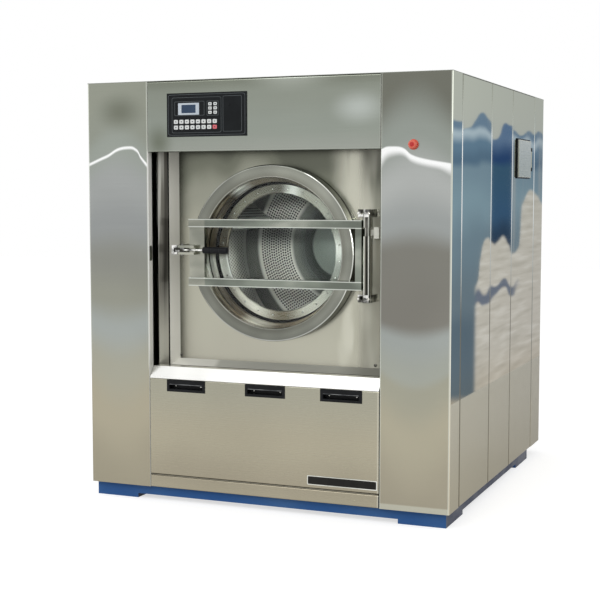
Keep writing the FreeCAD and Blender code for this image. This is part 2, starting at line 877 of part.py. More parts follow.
keep(joined([frame_ring, hatch_pin] + lugs), "hatch_frame")

lid_across = (frame_out + s.fit_gap, frame_out + s.hatch_lid_depth)
lid_pan = tray(lid_across, hatch_along, hatch_up, "+x")
barrel = rod("z", s.hatch_barrel_radius, (hinge_out, hinge_along, barrel_up[0]), s.hatch_barrel_length)
leaf = block(
    (hinge_out - s.hatch_pin_radius, hinge_out + s.hatch_pin_radius),
    (hatch_along[1] - s.sheet / 2, hinge_along),
    barrel_up,
)
bore_start = (hinge_out, hinge_along, barrel_up[0] - s.sheet)
barrel_bore = rod("z", s.hatch_pin_radius + s.running_gap, bore_start, s.hatch_barrel_length * 2)
keep(cut_from(joined([lid_pan, barrel, leaf]), [barrel_bore]), "hatch_lid")

hopper_face = half - s.sheet
hopper_along = (mouth_along[0] - s.sheet, mouth_along[1] + s.sheet)
hopper_up = (mouth_up[0] - s.sheet, mouth_up[1] + s.sheet)
hopper_shell = block((hopper_face - s.hopper_depth, hopper_face), hopper_along, hopper_up)
hopper_room = block((hopper_face - s.hopper_depth + s.sheet, hopper_face + s.sheet), mouth_along, mouth_up)
keep(cut_from(hopper_shell, [hopper_room]), "soap_hopper")

# Tub: a rolled shell with a neck, and a front plate with splayed flanges in the opening.
neck_outer = s.neck_radius + s.neck_wall
tub_profile = [
    (neck_outer, tub_front),
    (tub_outer, tub_front),
    (tub_outer, tub_end),
    (s.bearing_radius, tub_end),
    (s.bearing_radius, tub_rear),
    (s.tub_radius, tub_rear),
    (s.tub_radius, tub_front + s.tub_wall),
    (neck_outer, tub_front + s.tub_wall),
]
tub_shell = turned("y", tub_profile, on_axis)
drain_hole = rod("z", s.drain_radius, (zero, drain_along, tub_bottom - s.tub_wall), s.tub_wall * 4)
keep(cut_from(tub_shell, [drain_hole]), "outer_tub")

plate_face = front + s.plate_setback
plate_back = plate_face + s.sheet
neck_profile = [
    (s.neck_radius, plate_back),
    (neck_outer, plate_back),
    (neck_outer, tub_front + s.tub_wall),
    (s.neck_radius, tub_front + s.tub_wall),
]
keep(turned("y", neck_profile, on_axis), "tub_neck")


def frustum(along, near_half, near_up, far_half, far_up):
    """A block whose section grows from its near end to its far end along Y."""
    piece = doc.addObject("Part::Wedge", "frustum")
    bind(piece, Ymin=along[0], Ymax=along[1])
    bind(piece, Xmin=-near_half, Xmax=near_half, Zmin=near_up[0], Zmax=near_up[1])
    bind(piece, X2min=-far_half, X2max=far_half, Z2min=far_up[0], Z2max=far_up[1])
    return piece


flange_front = plate_face - s.flange_rise
plate_half = opening_half - s.plate_side_inset
flange_half = plate_half + s.flange_splay
plate_up = (lip_top + s.plate_lip_gap, fascia_low + s.plate_fascia_cover)
flange_up = (plate_up[0] - s.flange_splay, plate_up[1] + s.flange_splay)
plate_outside = frustum(
    (flange_front, plate_back),
    flange_half + s.sheet,
    (flange_up[0] - s.sheet, flange_up[1] + s.sheet),
    plate_half + s.sheet,
    (plate_up[0] - s.sheet, plate_up[1] + s.sheet),
)
plate_inside = frustum((flange_front, plate_face), flange_half, flange_up, plate_half, plate_up)
plate_hole = rod("y", s.neck_radius, (zero, plate_face - s.sheet, axis_up), s.sheet * 3)
keep(cut_from(plate_outside, [plate_inside, plate_hole]), "tub_front_plate")

trims = []
trim_root = flange_half + s.sheet + s.fit_gap
trim_tip = opening_half + s.fit_gap
trim_front = flange_front - s.trim_rise
trim_height = flange_up[1] - flange_up[0]
for mirror in (1, -1):
    section = [
        (trim_root * mirror, flange_front),
        (trim_tip * mirror, trim_front),
        ((trim_tip + s.sheet) * mirror, trim_front),
        ((trim_root + s.sheet) * mirror, flange_front + s.sheet),
        (trim_root * mirror, flange_front + s.sheet),
    ]
    trims.append(padded("XY_Plane", section, trim_height, (zero, zero, flange_up[0])))
keep(grouped(trims), "surround_trim")

# Cradle under the tub: two beams, two saddles and the motor plate, on four air springs.
beam_levels = (beam_low, beam_top)
beam_half = s.cradle_beam_width / 2
cradle = []
for beam_span in both_sides(s.cradle_beam_across - beam_half, s.cradle_beam_across + beam_half):
    cradle.append(block(beam_span, (tub_front, housing_end), beam_levels))
beam_reach = s.cradle_beam_across + beam_half
plate_top = beam_top + s.cradle_plate
cradle.append(block((-beam_reach, beam_reach), (tub_end + s.fit_gap, housing_end), (beam_top, plate_top)))
for saddle_along in (tub_front + s.saddle_front_inset, tub_rear - s.saddle_rear_inset):
    saddle_run = (saddle_along, saddle_along + s.saddle_thickness)
    saddle_up = (beam_top, beam_top + s.saddle_height)
    cradle.append(block((-s.saddle_half_width, s.saddle_half_width), saddle_run, saddle_up))
tub_space = rod("y", tub_outer + s.fit_gap, (zero, tub_front, axis_up), s.drum_length + s.tub_rear_space * 4)
keep(cut_from(joined(cradle), [tub_space]), "tub_cradle")

spring_low = spring_seat + s.fit_gap
springs = []
for spring_along in spring_rows:
    for spring_across in (s.cradle_beam_across, -s.cradle_beam_across):
        spring_start = (spring_across, spring_along, spring_low)
        springs.append(rod("z", s.spring_radius, spring_start, s.spring_height))
keep(grouped(springs), "air_springs")

# Drum: rolled shell, mouth ring, back with a raised cap, lifters and a three-arm spider.
mouth_front = front + s.mouth_setback
mouth_wall = s.mouth_rim_radius - s.drum_wall
drum_profile = [
    (mouth_wall, drum_front),
    (drum_outer, drum_front),
    (drum_outer, drum_rear),
    (drum_inner, drum_rear),
    (drum_inner, drum_front + s.drum_wall),
    (mouth_wall, drum_front + s.drum_wall),
]
keep(turned("y", drum_profile, on_axis), "inner_drum")

ring_profile = [
    (s.mouth_radius, mouth_front + s.edge_radius),
    (s.mouth_radius + s.edge_radius, mouth_front),
    (s.mouth_rim_radius, mouth_front),
    (s.mouth_rim_radius, drum_front),
    (mouth_wall, drum_front),
    (mouth_wall, mouth_front + s.drum_wall),
    (s.mouth_radius + s.drum_wall, mouth_front + s.drum_wall),
    (s.mouth_radius + s.drum_wall, mouth_front + s.mouth_lip),
    (s.mouth_radius, mouth_front + s.mouth_lip),
]
keep(turned("y", ring_profile, on_axis), "drum_mouth_ring")

cap_top = drum_rear - s.drum_cap_rise
cap_flat = s.drum_cap_radius - s.drum_cap_slope
back_profile = [
    (zero, cap_top),
    (cap_flat, cap_top),
    (s.drum_cap_radius, drum_rear),
    (drum_outer, drum_rear),
    (drum_outer, drum_end),
    (s.drum_cap_radius - s.drum_back / 2, drum_end),
    (cap_flat - s.drum_back / 2, cap_top + s.drum_back),
    (zero, cap_top + s.drum_back),
]
keep(turned("y", back_profile, on_axis), "drum_back")

spider_end = drum_end + s.spider_depth
hub_block = rod("y", s.spider_hub_radius, (zero, drum_end, axis_up), s.spider_depth)
arm_half = s.spider_arm / 2
arm_run = (drum_end, spider_end - s.drum_back)
arm = block((-arm_half, arm_half), arm_run, (axis_up, axis_up + drum_inner - s.spider_rim_gap))
arms = [arm] + [moved_copy(arm, FULL_TURN / SPIDER_ARMS * i, axis_up) for i in range(1, SPIDER_ARMS)]
nose_bore = rod("y", s.shaft_nose_radius, (zero, drum_end - s.sheet, axis_up), s.spider_depth * 2)
keep(cut_from(joined([hub_block] + arms), [nose_bore]), "drum_spider")

lifter_gap = s.drum_wall
lifter_foot = axis_up - drum_inner + s.fit_gap + lifter_gap * FOOT_GAPS
lifter_section = [
    (-s.lifter_root / 2, lifter_foot),
    (s.lifter_root / 2, lifter_foot),
    (s.lifter_crest / 2, lifter_foot + s.lifter_height),
    (-s.lifter_crest / 2, lifter_foot + s.lifter_height),
]
lifter_crown = lifter_foot + s.lifter_height - s.lifter_sheet
lifter_section[1:1] = [
    (s.lifter_sheet - s.lifter_root / 2, lifter_foot),
    (s.lifter_sheet - s.lifter_crest / 2, lifter_crown),
    (s.lifter_crest / 2 - s.lifter_sheet, lifter_crown),
    (s.lifter_root / 2 - s.lifter_sheet, lifter_foot),
]
lifter_start = (zero, drum_rear - s.fit_gap, zero)
lifter_length = s.drum_length - s.drum_wall - s.fit_gap * 2
lifter = padded("XZ_Plane", lifter_section, lifter_length, lifter_start)
first_turn = -(s.lifter_angle.value + FULL_TURN / 4)
lifter_step = FULL_TURN / LIFTER_COUNT
lifters = [moved_copy(lifter, first_turn + lifter_step * i, axis_up) for i in range(LIFTER_COUNT)]
keep(grouped(lifters), "drum_lifters")

# Drive: shaft in two bearings, pulley and flat ribbed belt, motor on the cradle plate.
shaft_profile = [
    (zero, drum_end),
    (s.shaft_nose_radius, drum_end),
    (s.shaft_nose_radius, spider_end),
    (s.shaft_radius, spider_end),
    (s.shaft_radius, pulley_front),
    (s.shaft_tail_radius, pulley_front),
    (s.shaft_tail_radius, pulley_back + s.sheet),
    (zero, pulley_back + s.sheet),
]
keep(turned("y", shaft_profile, on_axis), "main_shaft")

shaft_bore = s.shaft_radius + s.running_gap
seal_profile = [
    (shaft_bore, tub_rear),
    (s.bearing_radius, tub_rear),
    (s.bearing_radius, tub_end),
    (shaft_bore, tub_end),
]
keep(turned("y", seal_profile, on_axis), "shaft_seal")

bearings = []
for bearing_start in (tub_end + s.housing_flange, housing_end - s.bearing_width - s.housing_flange):
    ring = [
        (shaft_bore, bearing_start),
        (s.bearing_radius, bearing_start),
        (s.bearing_radius, bearing_start + s.bearing_width),
        (shaft_bore, bearing_start + s.bearing_width),
    ]
    bearings.append(turned("y", ring, on_axis))
keep(grouped(bearings), "main_bearings")

housing_profile = [
    (s.bearing_radius, tub_end),
    (s.housing_flange_radius, tub_end),
    (s.housing_flange_radius, tub_end + s.housing_flange),
    (s.housing_radius, tub_end + s.housing_flange),
    (s.housing_radius, housing_end),
    (s.bearing_radius, housing_end),
]
housing_tube = turned("y", housing_profile, on_axis)
rib_points = [
    (tub_end, s.bearing_radius + s.tub_wall),
    (tub_end, s.housing_flange_radius),
    (tub_end + s.housing_flange, s.housing_flange_radius),
    (housing_end - s.housing_flange, s.housing_radius),
    (housing_end - s.housing_flange, s.bearing_radius + s.tub_wall),
]
rib_start = (-s.housing_rib / 2, zero, axis_up)
rib = padded("YZ_Plane", rib_points, s.housing_rib, rib_start)
ribs = [moved_copy(rib, FULL_TURN / HOUSING_RIBS * i, axis_up) for i in range(HOUSING_RIBS)]
keep(joined([housing_tube] + ribs), "bearing_housing")

web_back = pulley_front + s.pulley_web
rim_inner = s.pulley_radius - s.pulley_rim
pulley_profile = [
    (s.shaft_tail_radius, pulley_front),
    (s.pulley_radius, pulley_front),
    (s.pulley_radius, pulley_back),
    (rim_inner, pulley_back),
    (rim_inner, web_back),
    (s.pulley_hub_radius, web_back),
    (s.pulley_hub_radius, pulley_back),
    (s.shaft_tail_radius, pulley_back),
]
pulley_blank = turned("y", pulley_profile, on_axis)
hole = rod("y", s.pulley_hole_radius, (zero, pulley_front, axis_up + s.pulley_hole_circle), s.pulley_width)
holes = [moved_copy(hole, FULL_TURN / PULLEY_HOLES * i, axis_up) for i in range(PULLEY_HOLES)]
keep(cut_from(pulley_blank, holes), "drum_pulley")

motor_up = plate_top + s.motor_radius
motor_back = housing_end - s.motor_bell
motor_front = tub_end + s.motor_tub_gap
motor_length = motor_back - motor_front
motor_case = rod("y", s.motor_radius, (zero, motor_front, motor_up), motor_length)
foot_up = (plate_top, motor_up - s.motor_radius / 2)
motor_foot = block((-s.motor_radius, s.motor_radius), (motor_front, motor_back), foot_up)
terminal_box = block(
    (s.motor_radius - s.tray_depth, s.motor_radius + s.motor_bell * 4),
    (motor_front + motor_length / 6, motor_back - motor_length / 3),
    (motor_up - s.motor_radius / 3, motor_up + s.motor_radius / 2),
)
motor_bore_radius = s.motor_shaft_radius + s.running_gap
motor_bore = rod("y", motor_bore_radius, (zero, motor_back - s.motor_bell, motor_up), s.motor_bell * 4)
keep(cut_from(joined([motor_case, motor_foot, terminal_box]), [motor_bore]), "motor")

motor_pulley_profile = [
    (zero, motor_back),
    (s.motor_shaft_radius, motor_back),
    (s.motor_shaft_radius, pulley_front),
    (s.motor_pulley_radius, pulley_front),
    (s.motor_pulley_radius, pulley_back),
    (zero, pulley_back),
]
keep(turned("y", motor_pulley_profile, (zero, zero, motor_up)), "motor_pulley")


def belt_loop(large, small, offset):
    """The face inside a band that wraps two pulleys at an offset from their rims."""
    centres = axis_up.value - motor_up.value
    lean = math.asin((large - small) / centres)
    wide, narrow = large + offset, small + offset
    top, low = axis_up.value, motor_up.value

    def spot(radius, centre, angle):
        return FreeCAD.Vector(radius * math.cos(angle), 0, centre + radius * math.sin(angle))

    left = math.pi + lean
    right = -lean
    quarter = math.pi / 2
    big_arc = Part.Arc(spot(wide, top, right), spot(wide, top, quarter), spot(wide, top, left))
    small_arc = Part.Arc(spot(narrow, low, left), spot(narrow, low, -quarter), spot(narrow, low, right))
    left_run = Part.LineSegment(spot(wide, top, left), spot(narrow, low, left))
    right_run = Part.LineSegment(spot(narrow, low, right), spot(wide, top, right))
    edges = [big_arc.toShape(), left_run.toShape(), small_arc.toShape(), right_run.toShape()]
    return Part.Face(Part.Wire(edges))


pulley_radii = (s.pulley_radius.value, s.motor_pulley_radius.value)
belt_inside = belt_loop(*pulley_radii, s.fit_gap.value)
belt_outside = belt_loop(*pulley_radii, s.fit_gap.value + s.belt_thickness.value)
belt_push = FreeCAD.Vector(0, s.belt_width.value, 0)
belt = doc.addObject("Part::Feature", "belt")
belt.Shape = belt_outside.extrude(belt_push).cut(belt_inside.extrude(belt_push))
belt.Placement = FreeCAD.Placement()
place(belt, zero, pulley_front + (s.pulley_width - s.belt_width) / 2, zero)
keep(belt, "drive_belt")

# Water connections: drain boot under the tub, drain pipe to the rear and two inlets.
boot_inner = s.drain_radius + s.boot_gap
boot_outer = boot_inner + s.boot_wall
boot_top = tub_bottom - s.fit_gap
boot_height = boot_top - s.boot_low
boot_profile = [
    (boot_inner, zero),
    (boot_outer, zero),
    (boot_outer, boot_height),
    (boot_inner, boot_height),
]
keep(turned("z", boot_profile, (zero, drain_along, s.boot_low)), "drain_boot")

valve_half = s.drain_valve / 2
valve_span = (-valve_half, valve_half)
valve_run = (drain_along - valve_half, drain_along + valve_half)
valve_up = (s.drain_height - valve_half, s.drain_height + valve_half)
drain_bore = s.drain_radius - s.drain_wall
drain_inlet = rod("z", s.drain_radius, (zero, drain_along, s.drain_height), s.drain_top - s.drain_height)
drain_outlet = rod("y", s.drain_radius, (zero, drain_along, s.drain_height), rear - drain_along)
spigot = rod("y", s.drain_spigot_radius, (zero, rear, s.drain_height), s.drain_stub)
drain_body = joined([block(valve_span, valve_run, valve_up), drain_inlet, drain_outlet, spigot])
drain_cuts = [
    rod("z", drain_bore, (zero, drain_along, s.drain_height), s.drain_top),
    rod("y", drain_bore, (zero, drain_along, s.drain_height), s.cabinet_depth),
]
keep(cut_from(drain_body, drain_cuts), "drain_pipe")

inlets = []
inlet_seat = rear - s.sheet
for inlet_across in inlet_spots:
    inlet_profile = [
        (s.inlet_bore, rear + s.drain_stub),
        (s.inlet_radius, rear + s.drain_stub),
        (s.inlet_radius, rear),
        (s.inlet_neck_radius, rear),
        (s.inlet_neck_radius, inlet_seat),
        (s.inlet_flange_radius, inlet_seat),
        (s.inlet_flange_radius, inlet_seat - s.inlet_valve_length),
        (zero, inlet_seat - s.inlet_valve_length),
        (zero, inlet_seat),
        (s.inlet_bore, inlet_seat),
    ]
    inlets.append(turned("y", inlet_profile, (inlet_across, zero, inlet_up)))
keep(grouped(inlets), "water_inlets")

# Door: a pressed ring with a glass ledge, its glass and gasket, and the welded bar frame.
door_face = front + s.door_setback
door_back = door_face + s.door_rim
ledge_front = door_face + s.door_well
ledge_back = ledge_front + s.door_sheet
ring_outer = s.door_radius - s.door_sheet
ring_inner = s.door_inner_radius + s.door_sheet
ring_soft = s.door_edge_radius
ring_half_soft = s.door_edge_radius * SOFT_MIDDLE
door_profile = [
    (s.door_inner_radius, door_face + s.door_sheet),
    (s.door_inner_radius + s.door_sheet, door_face),
    (s.door_radius - ring_soft, door_face),
    (s.door_radius - ring_half_soft, door_face + ring_half_soft),
    (s.door_radius, door_face + ring_soft),
    (s.door_radius, door_back),
    (ring_outer, door_back),
    (ring_outer, door_face + s.door_sheet * 2),
    (ring_inner + s.door_sheet, door_face + s.door_sheet * 2),
    (ring_inner + s.door_sheet, ledge_back),
    (s.door_inner_radius - s.door_ledge, ledge_back),
    (s.door_inner_radius - s.door_ledge, ledge_front),
    (s.door_inner_radius, ledge_front),
]
keep(turned("y", door_profile, on_axis), "door_ring")

glass_radius = s.door_inner_radius - s.fit_gap
glass_back = ledge_front - s.fit_gap
glass_front = glass_back - s.glass_thickness
glass_profile = [
    (zero, glass_front),
    (glass_radius, glass_front),
    (glass_radius, glass_back),
    (zero, glass_back),
]
keep(turned("y", glass_profile, on_axis), "door_glass")

gasket_outer = ring_outer - s.fit_gap
gasket_back = plate_face - s.fit_gap
gasket_front = gasket_back - s.gasket_depth
gasket_profile = [
    (gasket_outer - s.gasket_width, gasket_front),
    (gasket_outer, gasket_front),
    (gasket_outer - s.gasket_width / 4, gasket_back),
    (gasket_outer - s.gasket_width, gasket_back),
]
keep(turned("y", gasket_profile, on_axis), "door_gasket")

bar_front = front + s.bar_setback
bar_depth = (bar_front, door_face)
bar_half = s.bar_height / 2
upper_bar = axis_up + s.bar_spacing / 2
lower_bar = axis_up - s.bar_spacing / 2
hinge_along_door = (bar_front + door_face) / 2
bar_end = s.hinge_across - s.hinge_radius - s.fit_gap
frame_levels = (lower_bar - bar_half, upper_bar + bar_half)
lever_up = s.lever_height
lever_along = bar_front - s.lever_standoff
plate_right = s.left_plate_width - s.bar_left
plate_front = bar_front + s.left_plate_recess
ear_run = (lever_along - s.lever_eye_radius, lever_along - s.lever_eye_radius + s.ear_width)
ear_across = (-(s.lever_pivot_across + s.ear_reach), plate_right - s.left_plate_width / 2)
eye_half = s.lever_eye_height / 2
ear_inner = eye_half + s.fit_gap
ear_outer = ear_inner + s.ear_thickness
saddle_half = s.saddle_block_width / 2
saddle_span = (-s.saddle_block_across - saddle_half, saddle_half - s.saddle_block_across)
saddle_up = (lever_up - s.saddle_block_height / 2, lever_up + s.saddle_block_height / 2)
sleeve_up = (s.hinge_sleeve_low + s.fit_gap, s.hinge_sleeve_high)
sleeve_centre = (s.hinge_across, hinge_along_door, sleeve_up[0])
weld_run = (hinge_along_door - s.hinge_pin_radius / 2, hinge_along_door + s.hinge_pin_radius / 2)
weld_across = (s.bar_right, s.hinge_across - s.hinge_pin_radius)
frame_pieces = [
    block((-s.bar_left, bar_end), bar_depth, (upper_bar - bar_half, upper_bar + bar_half)),
    block((-s.bar_left, bar_end), bar_depth, (lower_bar - bar_half, lower_bar + bar_half)),
    block((s.bar_right, bar_end), bar_depth, frame_levels),
    block((-s.bar_left, plate_right), (plate_front, door_face), frame_levels),
    block(ear_across, ear_run, (lever_up + ear_inner, lever_up + ear_outer)),
    block(ear_across, ear_run, (lever_up - ear_outer, lever_up - ear_inner)),
    block(saddle_span, (lever_along - s.lever_rod_radius, plate_front), saddle_up),
    rod("z", s.hinge_radius, sleeve_centre, sleeve_up[1] - sleeve_up[0]),
    block(weld_across, weld_run, (lower_bar, s.hinge_sleeve_high - s.bar_height)),
]
pin_start = (-s.lever_pivot_across, lever_along, lever_up - ear_outer - s.latch_pin_over)
pin_length = (ear_outer + s.latch_pin_over) * 2
slot_half = s.lever_rod_radius + s.fit_gap
slot_run = (lever_along - s.lever_eye_radius, lever_along + slot_half)
sleeve_bore = (s.hinge_across, hinge_along_door, s.hinge_sleeve_low)
sleeve_length = s.hinge_sleeve_high - s.hinge_sleeve_low
frame_cuts = [
    block(saddle_span, slot_run, (lever_up - slot_half, lever_up + slot_half)),
    rod("z", s.lever_rod_radius, pin_start, pin_length),
    rod("z", s.hinge_pin_radius + s.running_gap, sleeve_bore, sleeve_length + s.sheet),
]
keep(cut_from(joined(frame_pieces), frame_cuts), "door_frame")

# Hinge on the tub plate: two brackets, a stepped pin with its knuckle, and the door switch.
bracket_across = (s.hinge_across - s.hinge_bracket_inner, s.hinge_across + s.hinge_radius)
bracket_run = (hinge_along_door, plate_face)
bracket_levels = [
    (s.hinge_knuckle_high, s.hinge_knuckle_high + s.hinge_bracket_height),
    (s.hinge_sleeve_low - s.hinge_bracket_height, s.hinge_sleeve_low),
]
brackets = []
for levels in bracket_levels:
    arm_block = block(bracket_across, bracket_run, levels)
    height = levels[1] - levels[0]
    boss = rod("z", s.hinge_radius, (s.hinge_across, hinge_along_door, levels[0]), height)
    hole_start = (s.hinge_across, hinge_along_door, levels[0] - s.sheet)
    pin_hole = rod("z", s.hinge_pin_radius + s.running_gap, hole_start, height * 2)
    brackets.append(cut_from(joined([arm_block, boss]), [pin_hole]))
keep(grouped(brackets), "hinge_brackets")

pin_low = bracket_levels[1][0]
pin_high = bracket_levels[0][1]
hinge_pin_profile = [
    (zero, pin_low),
    (s.hinge_pin_radius, pin_low),
    (s.hinge_pin_radius, s.hinge_sleeve_high + s.fit_gap),
    (s.hinge_collar_radius, s.hinge_sleeve_high + s.fit_gap),
    (s.hinge_collar_radius, s.hinge_collar_high),
    (s.hinge_radius, s.hinge_collar_high),
    (s.hinge_radius, s.hinge_knuckle_high),
    (s.hinge_pin_radius, s.hinge_knuckle_high),
    (s.hinge_pin_radius, pin_high),
    (zero, pin_high),
]
keep(turned("z", hinge_pin_profile, (s.hinge_across, hinge_along_door, zero)), "hinge_pin")

switch_across = (s.switch_across, s.switch_across + s.switch_width)
switch_up = (s.switch_low, s.switch_low + s.switch_height)
switch_back = hinge_along_door + s.switch_depth
switch_case = block(switch_across, (hinge_along_door, switch_back), switch_up)
leg_right = plate_half - s.switch_leg_inset
leg_across = (leg_right - s.switch_leg, leg_right)
leg_up = (switch_up[0] + s.switch_height / 4, switch_up[1] - s.switch_height / 4)
switch_leg = block(leg_across, (switch_back - s.switch_leg, plate_face), leg_up)
switch_arm = block((leg_across[0], s.switch_across), (switch_back - s.switch_leg, switch_back), leg_up)
keep(joined([switch_case, switch_leg, switch_arm]), "door_switch")

# Latch: a lever pinned in the door's ears, its black grip, and a forked keeper on the tub.
keep(rod("z", s.lever_rod_radius, pin_start, pin_length), "latch_pin")
lever_start = (-s.lever_pivot_across, lever_along, lever_up)
eye_start = (-s.lever_pivot_across, lever_along, lever_up - eye_half)
eye = rod("z", s.lever_eye_radius, eye_start, s.lever_eye_height)
lever_tip = s.grip_length * ROD_IN_GRIP - s.grip_start
lever_rod = rod("x", s.lever_rod_radius, lever_start, lever_tip + s.lever_pivot_across)
nose_half = s.lever_nose_width / 2
nose = block(
    (-(s.lever_pivot_across + s.lever_nose), -s.lever_pivot_across),
    (lever_along - nose_half, lever_along + nose_half),
    (lever_up - nose_half, lever_up + nose_half),
)
lever_bore_radius = s.lever_rod_radius + s.running_gap
lever_bore = rod("z", lever_bore_radius, pin_start, pin_length)
keep(cut_from(joined([eye, lever_rod, nose]), [lever_bore]), "latch_lever")

grip_end = s.grip_length - s.grip_start
rib_pitch = s.grip_length / GRIP_RIBS
grip_profile = [(s.lever_rod_radius, -s.grip_start)]
for i in range(GRIP_RIBS):
    rib_left = rib_pitch * i - s.grip_start
    grip_profile.append((s.grip_radius - s.grip_groove, rib_left))
    grip_profile.append((s.grip_radius, rib_left + s.grip_groove))
    grip_profile.append((s.grip_radius, rib_left + rib_pitch - s.grip_groove))
grip_profile.append((s.grip_radius - s.grip_groove, grip_end))
grip_profile.append((zero, grip_end))
grip_profile.append((zero, lever_tip))
grip_profile.append((s.lever_rod_radius, lever_tip))
keep(turned("x", grip_profile, (zero, lever_along, lever_up)), "latch_grip")

keeper_right = ear_across[0] - s.keeper_gap
keeper_left = keeper_right - s.keeper_prong
web_right = keeper_left + s.keeper_web
keeper_up = (lever_up - ear_outer, lever_up + ear_outer)
prong_across = (keeper_left, keeper_right)
keeper_pieces = [
    block((keeper_left, web_right), (ear_run[0], plate_face), keeper_up),
    block(prong_across, ear_run, (lever_up + ear_inner, keeper_up[1])),
    block(prong_across, ear_run, (keeper_up[0], lever_up - ear_inner)),
]
keep(joined(keeper_pieces), "latch_keeper")

# Every object has to be sound before any file is written.
doc.recompute()
for thing in doc.Objects:
    if "Invalid" in thing.State or "Error" in thing.State:
        raise RuntimeError(f"{thing.Name} ({thing.Label}) did not rebuild: {thing.State}")
for piece in nodes:
    if piece.Shape.isNull() or not piece.Shape.isValid() or piece.Shape.Volume <= 0:
        raise RuntimeError(f"{piece.Label} has no sound shape")

os.makedirs("parts", exist_ok=True)
for piece in nodes:
    piece.Shape.exportStep(f"parts/{piece.Label}.step")
print(f"{len(nodes)} nodes written")
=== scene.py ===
import math

import bpy
import numpy as np
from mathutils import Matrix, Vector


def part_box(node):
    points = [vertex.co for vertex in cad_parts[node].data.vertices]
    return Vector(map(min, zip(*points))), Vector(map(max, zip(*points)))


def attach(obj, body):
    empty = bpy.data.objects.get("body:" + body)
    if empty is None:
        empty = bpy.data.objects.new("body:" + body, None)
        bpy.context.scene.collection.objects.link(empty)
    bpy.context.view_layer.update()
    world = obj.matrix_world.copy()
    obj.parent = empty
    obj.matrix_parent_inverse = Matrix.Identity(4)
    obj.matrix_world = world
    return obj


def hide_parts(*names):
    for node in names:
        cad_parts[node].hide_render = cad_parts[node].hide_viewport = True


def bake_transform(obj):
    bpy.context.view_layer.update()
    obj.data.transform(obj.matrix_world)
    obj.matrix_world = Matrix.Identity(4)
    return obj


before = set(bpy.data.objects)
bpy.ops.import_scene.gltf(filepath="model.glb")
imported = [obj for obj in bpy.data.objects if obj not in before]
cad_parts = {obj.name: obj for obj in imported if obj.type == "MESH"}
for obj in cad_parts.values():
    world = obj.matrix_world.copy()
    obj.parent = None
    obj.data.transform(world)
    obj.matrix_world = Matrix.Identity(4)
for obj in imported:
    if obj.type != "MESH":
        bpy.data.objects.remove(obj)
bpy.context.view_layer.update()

# The studio: a white floor and white surround, one large soft box high over the front, a weaker one on
# each side, and a narrow lamp through the door glass. The camera stands to the right at chest height.
CAMERA_PLACE = (2.520, -6.506, 1.543)
CAMERA_YAW = 22.35
CAMERA_DIP = 4.71
CAMERA_LENS = 76.85
SOFT_BOXES = {
    "front_soft_box": ((-1.5, -5.5, 5.5), (48, 0, -15), 4.0, 95.0),
    "left_soft_box": ((-5.5, -1.0, 3.0), (75, 0, -85), 3.0, 35.0),
    "right_soft_box": ((6.0, -0.5, 3.5), (70, 0, 80), 3.0, 45.0),
}
DRUM_LAMP_PLACE = (1.80, -5.20, 1.75)
DRUM_LAMP_TILT = (84.4, 0, 19.7)
DRUM_LAMP_CONE = 8.0
DRUM_LAMP_FADE = 0.5
DRUM_LAMP_RADIUS = 0.25
DRUM_LAMP_POWER = 1000.0
WHITE = (1.0, 1.0, 1.0, 1.0)
AMBIENT = 0.78
FLOOR_SIZE = 40.0
FLOOR_GREY = (0.5, 0.5, 0.5, 1.0)
FLOOR_GLOW = 0.66


def stand(name, data, place=(0, 0, 0), tilt=(0, 0, 0)):
    """Put an object into the scene at a place, turned by angles in degrees."""
    thing = bpy.data.objects.new(name, data)
    thing.location = place
    thing.rotation_euler = [math.radians(angle) for angle in tilt]
    bpy.context.collection.objects.link(thing)
    return thing


camera = stand("camera", bpy.data.cameras.new("camera"), CAMERA_PLACE, (90 - CAMERA_DIP, 0, CAMERA_YAW))
camera.data.lens = CAMERA_LENS
bpy.context.scene.camera = camera
bpy.context.scene.view_settings.view_transform = "Standard"
for lamp_name, (place, tilt, width, power) in SOFT_BOXES.items():
    soft_box = stand(lamp_name, bpy.data.lights.new(lamp_name, "AREA"), place, tilt)
    soft_box.data.size = width
    soft_box.data.energy = power
drum_lamp = stand("drum_lamp", bpy.data.lights.new("drum_lamp", "SPOT"), DRUM_LAMP_PLACE, DRUM_LAMP_TILT)
drum_lamp.data.energy = DRUM_LAMP_POWER
drum_lamp.data.spot_size = math.radians(DRUM_LAMP_CONE)
drum_lamp.data.spot_blend = DRUM_LAMP_FADE
drum_lamp.data.shadow_soft_size = DRUM_LAMP_RADIUS


def plug(tree, socket, value):
    """Wire a socket to another one, or set its value."""
    if isinstance(value, bpy.types.NodeSocket):
        tree.links.new(value, socket)
    else:
        socket.default_value = value


def wire(tree, kind, inputs=None, **settings):
    """Add a shader node, set its fields, and feed each named socket with a value or another socket."""
    node = tree.nodes.new(kind)
    for field, value in settings.items():
        setattr(node, field, value)
    for socket, value in (inputs or {}).items():
        plug(tree, node.inputs[socket], value)
    return node


def calc(tree, operation, first, second=0.0, third=0.0):
    """One sum of numbers or sockets."""
    return wire(tree, "ShaderNodeMath", {0: first, 1: second, 2: third}, operation=operation).outputs[0]


def most_of(tree, first, *others):
    """The largest of a few numbers."""
    for other in others:
        first = calc(tree, "MAXIMUM", first, other)
    return first


def seen_or_mirrored(tree):
    """One where a ray comes from the eye, a reflection or a see-through surface, zero elsewhere."""
    path = wire(tree, "ShaderNodeLightPath").outputs
    return most_of(tree, path["Is Camera Ray"], path["Is Glossy Ray"], path["Is Transmission Ray"])


def fading(tree, factor, first, second):
    """One shader that gives way to another as the factor goes from zero to one."""
    ends = {"Fac": factor, 1: first.outputs[0], 2: second.outputs[0]}
    return wire(tree, "ShaderNodeMixShader", ends).outputs[0]


def bare_finish(name):
    """A new material and its node tree, with nothing in it."""
    material = bpy.data.materials.new(name)
    material.use_nodes = True
    material.node_tree.nodes.clear()
    return material, material.node_tree


